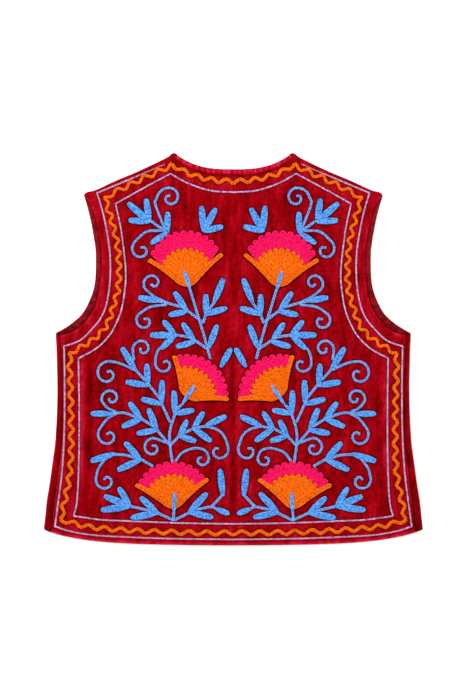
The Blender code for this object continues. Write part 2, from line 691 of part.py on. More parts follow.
def wall_mesh(name, face_plan, face_places, inner_plan, inner_places):
    """A closed wall from its two faces, which share one outline, and the rim between them."""
    shell = bmesh.new()
    loops = []
    for (_, triangles, border), places in ((face_plan, face_places), (inner_plan, inner_places)):
        corners = [shell.verts.new(place * MM) for place in places]
        for triangle in triangles:
            shell.faces.new([corners[index] for index in triangle])
        loops.append([corners[index] for index in border])
    face_loop, inner_loop = loops
    for step in range(len(face_loop)):
        after = (step + 1) % len(face_loop)
        shell.faces.new((face_loop[step], face_loop[after], inner_loop[after], inner_loop[step]))
    bmesh.ops.recalc_face_normals(shell, faces=shell.faces)
    bmesh.ops.triangulate(shell, faces=shell.faces)
    mesh = bpy.data.meshes.new(name)
    shell.to_mesh(mesh)
    shell.free()
    return mesh


def edge_drop(points, outline):
    """How far the outer face rounds down towards a turned edge."""
    gap = nearest_distance(points, outline + outline[:1])
    return EDGE_ROLL * np.clip(1 - gap / EDGE_ROLL_WIDTH, 0, 1)


def in_world(points, heights):
    """Pattern points at their heights, round the model's origin."""
    return np.stack([points[:, 0], points[:, 1] - LENGTH / 2, heights], axis=1)


# ---- The three panels -----------------------------------------------------------------------------
def back_panel():
    outline = back_outline()
    roll_line = beside(outline, EDGE_ROLL_WIDTH, closed=True)
    forms = embroidery()
    lines = [roll_line + roll_line[:1]] + band_lines() + [line for _, drawn, _ in forms for line in drawn]
    face_plan = laid_out(outline, lines, free_points(outline, lines, GRID_ACROSS, GRID_ALONG))
    inner_plan = laid_out(outline, [], free_points(outline, [], GRID_ACROSS, GRID_ALONG))
    spots = face_plan[0]
    rise, _ = tallest(spots, forms)
    top = back_underside(spots, outline) + CLOTH + back_bands(spots) - edge_drop(spots, outline) + rise
    under = back_underside(inner_plan[0], outline)
    mesh = wall_mesh("back_panel", face_plan, in_world(spots, top), inner_plan, in_world(inner_plan[0], under))
    return mesh, forms


def front_panel(name, side):
    outline = front_outline()
    creases = fold_lines(outline)
    armhole = curve_through(FRONT_ARMHOLE[::-1], EDGE_SPACING)
    turned = joined(armhole, list(SHOULDER[::-1]))
    steps = [beside(turned, depth)[:-1] for depth in (TURNED_EDGE, TURNED_EDGE + BAND_STEP)]
    roll_line = beside(outline, EDGE_ROLL_WIDTH, closed=True)
    flat_roll = [point for point in roll_line if point[0] < fold_start(point[1]) - FLAT_CLEARANCE]
    places = []
    plans = []
    for radius in (FOLD_RADIUS, FOLD_RADIUS - CLOTH):
        is_inner = radius < FOLD_RADIUS
        lines = creases + (steps + [flat_roll] if is_inner else [])
        plan = laid_out(outline, lines, free_points(outline, lines, FRONT_GRID, FRONT_GRID))
        spots = plan[0]
        x, z = front_lies_at(spots[:, 0], spots[:, 1], radius)
        if is_inner:
            on_flat = spots[:, 0] < fold_start(spots[:, 1]) - FLAT_CLEARANCE
            band = np.clip((TURNED_EDGE + BAND_STEP - nearest_distance(spots, turned)) / BAND_STEP, 0, 1)
            z = z + on_flat * (BAND_RISE * band - edge_drop(spots, outline))
        plans.append(plan)
        places.append(in_world(np.stack([side * x, spots[:, 1]], axis=1), z))
    return wall_mesh(name, plans[0], places[0], plans[1], places[1])


# ---- Materials and objects ------------------------------------------------------------------------
def finish(owner, name):
    """A cloth or thread finish that belongs to one panel."""
    colour, roughness = COLOURS[name]
    material = bpy.data.materials.new(f"{owner}_{name}")
    material.use_nodes = True
    shader = material.node_tree.nodes["Principled BSDF"]
    shader.inputs["Base Color"].default_value = colour
    shader.inputs["Roughness"].default_value = roughness
    shader.inputs["Metallic"].default_value = 0.0
    return material


def colour_threads(mesh, forms):
    """Gives each face of the back's embroidery the colour of its thread."""
    centres = np.array([tuple(face.center) for face in mesh.polygons])
    upwards = np.array([face.normal.z > LEAST_UPWARD for face in mesh.polygons])
    spots = centres[:, :2] / MM + np.array([0, LENGTH / 2])
    rise, colour = tallest(spots, forms)
    for face, height, index, up in zip(mesh.polygons, rise, colour, upwards):
        if up and height > LEAST_RISE:
            face.material_index = int(index)


def main():
    for old in list(bpy.data.objects):
        bpy.data.objects.remove(old, do_unlink=True)
    vest = bpy.data.collections.new("embroidered_folk_vest")
    bpy.context.scene.collection.children.link(vest)

    back_mesh, forms = back_panel()
    for name in COLOURS:
        back_mesh.materials.append(finish("back_panel", name))
    colour_threads(back_mesh, forms)
    panels = [("back_panel", back_mesh)]
    for name, side in (("front_left_panel", -1), ("front_right_panel", 1)):
        mesh = front_panel(name, side)
        mesh.materials.append(finish(name, "velvet_red"))
        panels.append((name, mesh))
    for name, mesh in panels:
        mesh.shade_smooth()
        mesh.set_sharp_from_angle(angle=math.radians(SHARP_ANGLE))
        vest.objects.link(bpy.data.objects.new(name, mesh))


main()
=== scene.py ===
"""Embroidered folk vest, laid flat with its back up: the velvet, the yarn worked into it and the table."""

import math
import random
from collections import namedtuple

import bmesh
import bpy
import numpy as np
from mathutils import Matrix, Vector


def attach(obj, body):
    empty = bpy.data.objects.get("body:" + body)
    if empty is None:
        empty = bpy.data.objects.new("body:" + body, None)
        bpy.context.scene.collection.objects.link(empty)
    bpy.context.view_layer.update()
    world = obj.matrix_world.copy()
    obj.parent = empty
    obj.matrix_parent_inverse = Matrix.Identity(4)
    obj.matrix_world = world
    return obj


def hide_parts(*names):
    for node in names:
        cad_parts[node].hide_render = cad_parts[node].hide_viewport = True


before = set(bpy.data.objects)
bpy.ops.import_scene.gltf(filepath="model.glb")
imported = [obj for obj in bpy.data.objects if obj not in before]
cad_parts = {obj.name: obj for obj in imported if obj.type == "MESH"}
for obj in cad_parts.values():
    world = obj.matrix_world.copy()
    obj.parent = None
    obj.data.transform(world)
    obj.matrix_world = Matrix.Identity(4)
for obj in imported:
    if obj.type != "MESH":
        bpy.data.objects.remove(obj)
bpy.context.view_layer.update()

# ----------------------------------------
# The fronts: two pieces of cotton velvet on a knitted backing, laid face down. Each rolls up round the
# side fold to a narrow lip at the side seam, and its armhole and shoulder edge is turned in and sewn.
# Pattern sizes are in millimetres: x outwards from the centre line, y up from the hem, z up.
MM = 0.001
LENGTH = 530.0
HEM_HALF = 256.5
HEM_DIP = 6.8
HEM_CORNER_LIFT = 14.8
CLOTH = 1.8
SEAM_GAP = 0.3
FOLD_RADIUS = 3.0
FOLD_MID_RADIUS = FOLD_RADIUS - CLOTH / 2
FOLD_ARC = math.pi * FOLD_MID_RADIUS
UNDERARM_Y = 284.0
UNDERARM_SLOPE = 0.5       # how the front's armhole edge climbs from the side seam, over the fold
SEAM_INSET_UNDERARM = 5.5
SEAM_INSET_HEM = 10.5
FRONT_GAP_HALF = 4.0
TURNED_EDGE = 7.0
BAND_RISE = 0.6
BAND_SLOPE = 1.4           # width of the step down from a turned edge
EDGE_STEP = 3.2            # spacing of the places along a cut edge
EDGE_RINGS = (0.5, 0.9)    # widths of the rings that round a cut edge over
EDGE_ROLL = 0.55
#            y      x
SIDE_FOLD = ((20, 256.5), (41, 254), (61, 252), (82, 248.5), (122, 243), (142, 240.5),
             (183, 238.3), (223, 238), (264, 239), (284, 240))
#           x      y
SHOULDER = ((75.5, 527), (76.9, 529.2), (79.7, 530), (82.4, 529.6), (85, 527.8), (90.4, 523.6), (128, 505.6),
            (157, 493.4), (184, 481), (191, 478.6), (196.5, 477.6), (200.3, 475.6), (202, 472.5))
FRONT_ARMHOLE = ((202, 472.5), (197, 455.6), (192, 434), (187.5, 408), (186, 390), (187, 358), (192, 337),
                 (203, 315), (216, 302), (229, 293))
FRONT_NECK = ((75.5, 527), (66, 470), (40, 408), (4, 360))


def curve_through(knots, spacing):
    """Places about `spacing` apart on a smooth curve through the knots, its ends included."""
    knots = [np.array(knot, float) for knot in knots]
    guides = [2 * knots[0] - knots[1]] + knots + [2 * knots[-1] - knots[-2]]
    places = []
    for before, start, end, after in zip(guides, guides[1:], guides[2:], guides[3:]):
        steps = max(1, round(float(np.linalg.norm(end - start)) / spacing))
        for step in range(steps):
            t = step / steps
            places.append(0.5 * (2 * start + (end - before) * t
                                 + (2 * before - 5 * start + 4 * end - after) * t ** 2
                                 + (3 * start - before - 3 * end + after) * t ** 3))
    places.append(knots[-1])
    return [tuple(place.tolist()) for place in places]


def evenly(first, last, spacing):
    """Values from first to last, about `spacing` apart."""
    return np.linspace(first, last, 1 + max(1, round(abs(last - first) / spacing))).tolist()


def joined(*stretches):
    """One path from stretches that each start where the one before ends."""
    path = list(stretches[0])
    for stretch in stretches[1:]:
        path += stretch[1:]
    return path


def closed(path):
    return path + path[:1]


def mirrored(path):
    return [(-x, y) for x, y in path]


def eased(value):
    """Rises smoothly from 0 to 1 as the value goes from 0 to 1."""
    value = np.clip(value, 0, 1)
    return value * value * (3 - 2 * value)


def beside(distance, centre, reach):
    """1 at the centre, falling off softly to both sides of it."""
    return np.exp(-((distance - centre) / reach) ** 2)


def nearest_distance(x, y, path):
    """The distance of each place to the path."""
    best = np.full(len(x), np.inf)
    for (x1, y1), (x2, y2) in zip(path, path[1:]):
        run = max((x2 - x1) ** 2 + (y2 - y1) ** 2, 1e-9)
        share = np.clip(((x - x1) * (x2 - x1) + (y - y1) * (y2 - y1)) / run, 0, 1)
        best = np.minimum(best, np.hypot(x - x1 - share * (x2 - x1), y - y1 - share * (y2 - y1)))
    return best


SIDE_CURVE = np.array(curve_through([(x, y) for y, x in SIDE_FOLD], 6))


def side_fold_x(y):
    return np.interp(y, SIDE_CURVE[:, 1], SIDE_CURVE[:, 0])


def side_seam_x(y):
    inset = np.interp(y, (SIDE_FOLD[0][0], UNDERARM_Y), (SEAM_INSET_HEM, SEAM_INSET_UNDERARM))
    return side_fold_x(y) - inset


def hem_y(x):
    share = np.abs(x) / HEM_HALF
    return HEM_DIP * share ** 2 + HEM_CORNER_LIFT * share ** 6


def fold_start(y):
    return side_fold_x(y) - FOLD_RADIUS


def lip_end(y):
    """Where the front ends at the side seam, in its flat pattern."""
    return float(2 * fold_start(y) + FOLD_ARC - side_seam_x(y) - SEAM_GAP / 2)


def front_lies_at(u, y, radius):
    """Where a place of the front's pattern lies: its x and z, on the face at this radius of the fold."""
    past = u - fold_start(y)
    turn = np.clip(past / FOLD_MID_RADIUS, 0, math.pi)
    flat = np.minimum(past, 0) - np.maximum(past - FOLD_ARC, 0)
    return fold_start(y) + flat + radius * np.sin(turn), FOLD_RADIUS - radius * np.cos(turn)


def front_outline():
    """One front's edge in its flat pattern, anticlockwise from its front hem corner."""
    corner_y = SIDE_FOLD[0][0]
    hem = []
    for u in evenly(FRONT_GAP_HALF, lip_end(corner_y), EDGE_STEP):
        x, _ = front_lies_at(u, corner_y, FOLD_RADIUS)
        hem.append((u, float(hem_y(min(float(x), HEM_HALF)))))
    seam = [(lip_end(y), y) for y in evenly(hem[-1][1], UNDERARM_Y, EDGE_STEP)]
    top = [(u, UNDERARM_Y + UNDERARM_SLOPE * (seam[-1][0] - u))
           for u in evenly(seam[-1][0], float(fold_start(UNDERARM_Y)), EDGE_STEP)]
    armhole = curve_through((top[-1],) + FRONT_ARMHOLE[::-1], EDGE_STEP)
    shoulder = curve_through(SHOULDER[::-1], EDGE_STEP)
    neck = curve_through(FRONT_NECK, 2 * EDGE_STEP)
    front_edge = [(FRONT_GAP_HALF, y) for y in evenly(neck[-1][1], hem[0][1], 4 * EDGE_STEP)]
    return joined(hem, seam, top, armhole, shoulder, neck, front_edge)[:-1]


def cut_across(bm, axis, *spans):
    """Cuts a flat mesh by planes square to the axis, over spans of a first, a last and a spacing."""
    normal = Vector((axis == 0, axis == 1, 0))
    for stop in [stop for span in spans for stop in evenly(*span)]:
        everything = bm.verts[:] + bm.edges[:] + bm.faces[:]
        bmesh.ops.bisect_plane(bm, geom=everything, dist=0.02, plane_co=normal * stop, plane_no=normal)


def flat_places(bm):
    """The x and y of every vertex of a flat mesh."""
    return np.array([vert.co[:2] for vert in bm.verts]).T


def cut_piece(outline, x_spans, y_spans):
    """A cut piece's flat mesh, with rings inside its edge and a grid across it; then where its vertices
    are, how far from the edge, and how much the edge is rounded over there."""
    bm = bmesh.new()
    whole = bm.faces.new([bm.verts.new((x, y, 0)) for x, y in outline])
    whole.normal_update()
    for width in EDGE_RINGS:
        bmesh.ops.inset_region(bm, faces=[whole], thickness=width, use_boundary=True, use_even_offset=True)
    cut_across(bm, 0, *x_spans)
    cut_across(bm, 1, *y_spans)
    x, y = flat_places(bm)
    from_edge = nearest_distance(x, y, closed(outline))
    return bm, x, y, from_edge, eased(1 - from_edge / sum(EDGE_RINGS))


def lay_down(bm, x, y, z):
    """Moves each vertex to its place in the garment, in metres from the middle of the vest's length."""
    for vert, place in zip(bm.verts, np.stack([x, y - LENGTH / 2, z], axis=1) * MM):
        vert.co = place


def face_out(bm, upward=True):
    """Turns a mesh's faces the same way, most of them upward or most of them down."""
    bmesh.ops.recalc_face_normals(bm, faces=bm.faces)
    if (sum(face.normal.z for face in bm.faces) > 0) != upward:
        bmesh.ops.reverse_faces(bm, faces=bm.faces)


def saved_mesh(bm, name):
    mesh = bpy.data.meshes.new(name)
    bm.to_mesh(mesh)
    bm.free()
    return mesh


def made_object(bm, name, *materials):
    """A smooth object at the origin from a finished mesh."""
    mesh = saved_mesh(bm, name)
    mesh.shade_smooth()
    for material in materials:
        mesh.materials.append(material)
    made = bpy.data.objects.new(name, mesh)
    bpy.context.scene.collection.objects.link(made)
    return made


def thicken(piece, thickness, group=None):
    """Gives cloth its wall, inwards from its outer face, with the backing on the inner side."""
    wall = piece.modifiers.new("wall", "SOLIDIFY")
    wall.thickness = thickness * MM
    wall.offset = -1
    wall.use_even_offset = False
    wall.material_offset = 1
    wall.material_offset_rim = 0
    if group:
        wall.vertex_group = group.name


def store_painted_light(piece, lean):
    """Stores the painted highlights and painted shade at each vertex, for the velvet's colour."""
    stored = piece.data.attributes.new("painted_highlight_and_shade", "FLOAT", "POINT")
    stored.data.foreach_set("value", np.asarray(lean, np.float32))


def linear(colour):
    """An sRGB hex colour as the linear values that a shader takes."""
    parts = [int(colour[i:i + 2], 16) / 255 for i in (1, 3, 5)]
    return (*[part / 12.92 if part <= 0.04045 else ((part + 0.055) / 1.055) ** 2.4 for part in parts], 1.0)


def add_node(tree, kind, sockets=None, **settings):
    """Adds a node. Settings are its own properties; a socket is given a value or another node's output."""
    made = tree.nodes.new("ShaderNode" + kind)
    for name, value in settings.items():
        setattr(made, name, value)
    for name, value in (sockets or {}).items():
        if isinstance(value, bpy.types.NodeSocket):
            tree.links.new(value, made.inputs[name])
        else:
            made.inputs[name].default_value = value
    return made


def new_material(name):
    """An empty material, its node tree, its shader and the places on its object."""
    material = bpy.data.materials.new(name)
    material.use_nodes = True
    tree = material.node_tree
    return material, tree, tree.nodes["Principled BSDF"], add_node(tree, "TexCoord").outputs["Object"]


def noise(tree, place, scale, detail, roughness=0.5):
    sockets = {"Vector": place, "Scale": scale, "Detail": detail, "Roughness": roughness}
    return add_node(tree, "TexNoise", sockets).outputs["Fac"]


def shaded_hollows(tree, distance):
    """1 in the open and less where something stands within the distance."""
    return add_node(tree, "AmbientOcclusion", {"Distance": distance}, samples=8).outputs["AO"]


def scaled_sum(tree, value, scale, added):
    return add_node(tree, "Math", {0: value, 1: scale, 2: added}, operation="MULTIPLY_ADD").outputs[0]


def relief(tree, height, strength, distance, over=None):
    """The normal of a small relief, over another one where it is given."""
    sockets = {"Height": height, "Strength": strength, "Distance": distance}
    if over:
        sockets["Normal"] = over
    return add_node(tree, "Bump", sockets).outputs["Normal"]


def finish_surface(tree, shader, colour, normal, constants):
    """Gives the shader its colour and relief, and sets its constant sockets."""
    tree.links.new(colour, shader.inputs["Base Color"])
    if normal:
        tree.links.new(normal, shader.inputs["Normal"])
    for socket, value in constants.items():
        shader.inputs[socket].default_value = value


def colour_steps(tree, value, steps):
    """A colour that goes through the steps as the value rises."""
    ramp = add_node(tree, "ValToRGB", {"Fac": value})
    stops = ramp.color_ramp.elements
    while len(stops) < len(steps):
        stops.new(0.5)
    for stop, (position, colour) in zip(stops, steps):
        stop.position = position
        stop.color = linear(colour)
    return ramp.outputs["Color"]


# Crimson cotton velvet: a short dense pile that scatters light softly, looks darker where the eye looks down
# into it, and has a pink sheen. Painted highlights and painted shade are added to its colour along creases,
# folds and turned edges, and painted shade beside the yarn.
velvet, tree, shader, place = new_material("cotton_velvet_crimson")
# Painted highlights and painted shade, stored on the mesh along creases, folds and turned edges.
painted_highlight_and_shade = add_node(tree, "Attribute", attribute_name="painted_highlight_and_shade").outputs["Fac"]
streaky = add_node(tree, "Mapping", {"Vector": place, "Scale": (1.0, 0.3, 1.0)}).outputs["Vector"]
patches = noise(tree, streaky, 95.0, 4.0, 0.6)
flecks = noise(tree, place, 240.0, 3.0, 0.7)
pile = noise(tree, place, 1400.0, 2.0, 0.8)
# Painted shade: darker where yarn or a fold of the cloth stands within 3.2 mm.
painted_hollow_shade = scaled_sum(tree, shaded_hollows(tree, 0.0032), 1.15, -0.735)
# The tone: random mottling of the pile, plus the stored painted highlights and painted shade, then the
# painted shade beside the yarn.
lean = scaled_sum(tree, patches, 0.4, painted_highlight_and_shade)
lean = scaled_sum(tree, flecks, 0.24, lean)
lean = scaled_sum(tree, painted_hollow_shade, 1.0, lean)
tone = colour_steps(tree, lean, ((0.55, "#300000"), (0.65, "#5A0001"), (0.735, "#7C0006"),
                                 (0.82, "#960618"), (0.93, "#BE1C40")))
nap = relief(tree, pile, 0.35, 0.0005)
nap = relief(tree, flecks, 0.45, 0.0016, nap)
nap = relief(tree, patches, 0.35, 0.004, nap)
finish_surface(tree, shader, tone, nap, {"Roughness": 0.95, "Specular IOR Level": 0.015, "Sheen Weight": 0.2,
                                         "Sheen Roughness": 0.35, "Sheen Tint": linear("#D00828")})

# The turned-in side of the fronts: the same crimson cotton with its nap worn flat, a little nubbly where the
# stitching pulls it in, with painted shade where the back lies over it and painted shade that deepens under
# the arm.
shaded_inner_velvet, tree, shader, place = new_material("inner_crimson_cotton_painted_shade")
nubs = add_node(tree, "TexVoronoi", {"Vector": place, "Scale": 420.0}).outputs["Distance"]
along = add_node(tree, "SeparateXYZ", {"Vector": place}).outputs["Y"]
# Painted shade, deepening down towards the underarm.
painted_underarm_shade = add_node(tree, "MapRange", {"Value": along, "From Min": 0.03, "From Max": 0.12, "To Min": -0.14,
                                       "To Max": 0.0}, interpolation_type="SMOOTHSTEP").outputs["Result"]
tone = scaled_sum(tree, nubs, -0.15, noise(tree, place, 160.0, 3.0))
# Painted shade where the back's edge stands close over it.
tone = scaled_sum(tree, shaded_hollows(tree, 0.006), 0.55, tone)
tone = scaled_sum(tree, painted_underarm_shade, 1.0, tone)
tone = colour_steps(tree, tone, ((0.45, "#240001"), (0.75, "#560104"), (0.98, "#7E0812")))
finish_surface(tree, shader, tone, relief(tree, nubs, 0.6, -0.0009),
               {"Roughness": 1.0, "Specular IOR Level": 0.05, "Sheen Weight": 0.1})

# The grids of the fronts, finer round the fold.
#                first last  spacing
FRONT_X_SPANS = ((8,   232,  4.0),
                 (233, 272,  1.2))
FRONT_Y_SPANS = ((4,   526,  4.0),)
for name, node, side in (("front_right_velvet", "front_right_panel", 1),
                         ("front_left_velvet", "front_left_panel", -1)):
    bm, u, y, _, rounding = cut_piece(front_outline(), FRONT_X_SPANS, FRONT_Y_SPANS)
    armhole = joined(curve_through(FRONT_ARMHOLE[::-1], EDGE_STEP), curve_through(SHOULDER[::-1], EDGE_STEP))
    band = 1 - eased((nearest_distance(u, y, armhole) - TURNED_EDGE) / 1.5)
    wall_here = CLOTH + BAND_RISE * band - 2 * EDGE_ROLL * rounding
    x, z = front_lies_at(u, y, FOLD_RADIUS - EDGE_ROLL * rounding)
    lay_down(bm, side * x, y, z)
    face_out(bm, upward=False)
    front = made_object(bm, name, velvet, shaded_inner_velvet)
    past_fold = (u - fold_start(y)) / FOLD_ARC
    # Painted highlight along the top of the side fold, and painted shade past it towards the seam.
    store_painted_light(front, 0.1 * beside(past_fold, 0.5, 0.26) - 0.05 * eased(past_fold - 0.6))
    thick = front.vertex_groups.new(name="wall")
    for index, share in enumerate((wall_here / (CLOTH + BAND_RISE)).tolist()):
        thick.add([index], share, "REPLACE")
    thicken(front, CLOTH + BAND_RISE, thick)
    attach(front, "root")
    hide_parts(node)

# ----------------------------------------
# The back: one piece of the same velvet, laid over the fronts and sewn to them at the shoulders and the
# side seams. Its neck and hem are turned in and topstitched. It dips in a crease down its centre where
# the vest was kept folded, and lifts in soft folds that run up from the hem.
NECK_HALF = 79.5
NECK_DEPTH = 22.0
NECK_POWER = 2.8
NECK_END = 75.5            # where the neck edge turns up to the blunt neck point
HEM_BAND = 5.0
BACK_LIFT = 2.7
BACK_LOFT = 0.9
LOFT_REACH = 45.0
SIDE_RAMP = 34.0
UNDERARM_FADE = 30.0
CREASE_WIDTH = 7.0
CREASE_TOP = 330.0
FOLD_FADE = 60.0
CREASE_FADE = 40.0
BACK_ARMHOLE = ((202, 472.5), (193, 460), (187, 444), (181.4, 419), (178.3, 395), (178, 375), (180.6, 349),
                (185, 328), (193, 311), (203, 299), (216, 289), (227, 285))
# Soft folds: from x_low at y_low to x_high at y_high.
#         x_low x_high y_low y_high width rise
FOLDS = ((-212, -197,  10,   300,   14,   1.4),
         (-168, -156,  -10,  250,   18,   1.1),
         (-118, -106,  -20,  340,   23,   0.9),
         (-60,  -68,   10,   440,   26,   0.8),
         (52,   67,    -10,  420,   25,   0.9),
         (114,  102,   -20,  350,   21,   1),
         (164,  152,   0,    260,   17,   1.2),
         (211,  199,   0,    290,   14,   1.5))
# Small creases between and across the folds; the lift is negative in a trough.
#           x_low y_low x_high y_high width lift
CREASES = ((-199, 50,   -196,  190,   3.5,  -0.7),
           (-204, 60,   -203,  175,   2.5,  0.5),
           (-146, 215,  -128,  165,   3,    0.5),
           (-140, 378,  -118,  352,   3.5,  0.6),
           (-20,  400,  -34,   470,   5,    0.4),
           (-150, 300,  -132,  262,   3,    0.5),
           (-92,  372,  -84,   300,   3.5,  -0.4),
           (204,  70,   202,   165,   3,    0.4),
           (148,  226,  131,   172,   3,    0.5),
           (143,  384,  120,   356,   3.5,  0.6),
           (24,   396,  38,    462,   5,    0.4),
           (153,  292,  134,   258,   3,    0.5),
           (90,   380,  86,    312,   3.5,  -0.4))
PUCKER_PERIOD = 7.6        # the topstitching draws the turned edge in about this often
PUCKER_RISE = 0.28
GROOVE_DEPTH = 0.3         # beside the topstitching of the neck, and shallower beside that of the hem
HEM_GROOVE_SHARE = 0.6
HEM_PUCKER_SHARE = 0.5
ARMHOLE_ROLL = 0.35
ARMHOLE_SWELL = 0.12       # how much the armhole's roll swells and thins along it
# How far in from the edge each of these runs, and how far it reaches to both sides.
NECK_GROOVE = (TURNED_EDGE + 1.6, 1.3)
HEM_GROOVE = (HEM_BAND + 1.4, 1.2)
NECK_PUCKERS = (3.5, 3.0)
HEM_PUCKERS = (3.0, 2.5)
ROLL_LINE = (2.2, 1.8)


def neck_y(x):
    return LENGTH - NECK_DEPTH * (1 - (np.minimum(np.abs(x), NECK_HALF) / NECK_HALF) ** NECK_POWER)


def back_outline(step):
    """The back's edge, anticlockwise from the centre of the hem."""
    corner = side_seam_x(hem_y(HEM_HALF - SEAM_INSET_HEM)) - SEAM_GAP / 2
    hem = [(x, float(hem_y(x))) for x in evenly(0, corner, step)]
    side = [(float(side_seam_x(y)) - SEAM_GAP / 2, y) for y in evenly(hem[-1][1], UNDERARM_Y, step)]
    armhole = curve_through((side[-1],) + BACK_ARMHOLE[::-1], step)
    shoulder = curve_through(SHOULDER[::-1], step)
    neck = [(x, float(neck_y(x))) for x in evenly(NECK_END, 0, step)]
    half = joined(hem, side, armhole, shoulder, neck)
    return half + mirrored(half)[-2:0:-1]


coarse_edge = closed(back_outline(12.0))
armhole_line = curve_through(BACK_ARMHOLE, 8.0)


def ridge(x, y, x_low, y_low, x_high, y_high, width, fade):
    """1 along the line between two places, falling off softly to its sides and over the fade at its ends."""
    run = math.hypot(x_high - x_low, y_high - y_low)
    along = ((x - x_low) * (x_high - x_low) + (y - y_low) * (y_high - y_low)) / run
    aside = ((x - x_low) * (y_high - y_low) - (y - y_low) * (x_high - x_low)) / run
    ends = eased((along + fade / 2) / fade) * eased((run - along + fade / 2) / fade)
    return ends * beside(aside, 0, width)


def below_neck(x, y):
    """How far a place is below the neck's edge; no edge is near outside the neck."""
    return np.where(np.abs(x) < NECK_HALF, neck_y(x) - y, LENGTH)


def pucker(x):
    """The waves that the topstitching draws in a turned edge."""
    return np.sin(2 * math.pi * (x + 2.5 * np.sin(x / 23)) / PUCKER_PERIOD)


def back_face(x, y):
    """Height of the back's outer face above the surface that the vest lies on."""
    inwards = eased(nearest_distance(x, y, coarse_edge) / LOFT_REACH)
    crease = beside(x, 0, CREASE_WIDTH) * eased((CREASE_TOP - y) / CREASE_TOP * 2)
    height = BACK_LIFT + CLOTH + BACK_LOFT * inwards * (1 - crease)
    for x_low, x_high, y_low, y_high, width, rise in FOLDS:
        middle = x_low + (x_high - x_low) * (y - y_low) / (y_high - y_low)
        ends = eased((y - y_low) / FOLD_FADE) * eased((y_high - y) / FOLD_FADE)
        height = height + rise * ends * inwards * beside(x, middle, width)
    for *line, lift in CREASES:
        height = height + lift * inwards * ridge(x, y, *line, CREASE_FADE)
    below_arm = eased((UNDERARM_Y + UNDERARM_FADE - y) / UNDERARM_FADE)
    near_seam = eased(1 - (side_seam_x(y) - np.abs(x)) / SIDE_RAMP) * below_arm
    height = height + (2 * FOLD_RADIUS - CLOTH - BACK_LIFT) * near_seam
    from_neck, from_hem = below_neck(x, y), y - hem_y(x)
    off_neck_band = eased((from_neck - TURNED_EDGE) / BAND_SLOPE)
    band = 1 - np.minimum(off_neck_band, eased((from_hem - HEM_BAND) / BAND_SLOPE))
    groove = beside(from_neck, *NECK_GROOVE) + HEM_GROOVE_SHARE * beside(from_hem, *HEM_GROOVE)
    height = height + BAND_RISE * band - GROOVE_DEPTH * groove
    puckered = beside(from_neck, *NECK_PUCKERS) + HEM_PUCKER_SHARE * beside(from_hem, *HEM_PUCKERS)
    height = height + PUCKER_RISE * pucker(x) * puckered
    swell = np.sin(2 * math.pi * (y + 3 * np.sin(y / 19)) / (1.3 * PUCKER_PERIOD))
    from_armhole = nearest_distance(np.abs(x), y, armhole_line)
    return height + (ARMHOLE_ROLL + ARMHOLE_SWELL * swell) * beside(from_armhole, *ROLL_LINE)


# The back's grid, finer along the hem and the neck.
#               first   last  spacing
BACK_X_SPANS = ((-245,  245,  2.8),)
BACK_Y_SPANS = ((1,     30,   1.2),
                (32.5,  500,  2.8),
                (501.2, 529,  1.2))
bm, x, y, from_edge, rounding = cut_piece(back_outline(EDGE_STEP), BACK_X_SPANS, BACK_Y_SPANS)
lay_down(bm, x, y, back_face(x, y) - EDGE_ROLL * rounding)
face_out(bm)
back = made_object(bm, "back_velvet", velvet, shaded_inner_velvet)

# Painted shade along a crease, and a painted highlight beside it.
#           x_low y_low x_high y_high width fade shift
CREASE_SHADE_AND_HIGHLIGHT = ((0,    60,   0,     240,   3,    90,  -0.09),
           (-8,   50,   -8,    300,   4,    90,  0.04),
           (8,    50,   8,     300,   4,    90,  0.04),
           (-195, 95,   -193,  265,   5,    60,  -0.08),
           (-205, 90,   -204,  270,   2.8,  60,  0.09),
           (205,  90,   204,   270,   2.8,  60,  0.05))
painted_light_here = np.zeros(len(x))
for *line, shift in CREASE_SHADE_AND_HIGHLIGHT:
    painted_light_here += shift * ridge(x, y, *line)
# Painted highlights along the turned edges, the neck's in step with its puckers, and painted shade in the
# groove below the neck.
painted_light_here += (0.09 + 0.08 * pucker(x)) * beside(below_neck(x, y), 3.0, 3.0)
painted_light_here -= 0.08 * beside(below_neck(x, y), TURNED_EDGE + 1.4, 1.3)
painted_light_here += 0.07 * beside(nearest_distance(np.abs(x), y, armhole_line), 1.0, 1.6)
painted_light_here += 0.12 * beside(y - hem_y(x), 1.2, 2.0)
painted_light_here += 0.03 * (1 - eased((from_edge - 26) / 10))    # and the whole border a little lighter
store_painted_light(back, painted_light_here)
thicken(back, CLOTH)
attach(back, "root")
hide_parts("back_panel")

# ----------------------------------------
# The fine rows: two lines of lavender chain stitch in thin wool yarn that frame the zigzag. Each stitch
# is a loop drawn up through the one before, worked with a hook through the velvet and its backing.
FINE_WIDTH = 2.9
FINE_PITCH = 3.0
FINE_YARN = 1.1
OUTER_LIFT = -0.2          # how high the outer row lies, and how much less so along the hem and the neck
HEM_LIFT = -0.25
NECK_LIFT = -0.45
HEM_RAMP = (30, 18)        # the heights between which it goes down to the hem, and up at the neck
NECK_RAMP = (480, 510)
INNER_ROW = (((0, 477), (30, 479), (60, 488.5), (85, 502)),
             ((85, 502), (122, 482), (159, 461.5)),
             ((159, 461.5), (152.2, 430), (147.6, 396), (145.2, 370), (146, 349), (151, 318.5), (159, 298),
              (168.5, 282), (185, 266), (209, 252.5)),
             ((209, 252.5), (208, 180), (208.5, 110), (211, 60), (215.5, 40)),
             ((215.5, 40), (203, 38), (178, 34.7), (142, 33), (100, 31.3), (60, 30), (0, 29)))
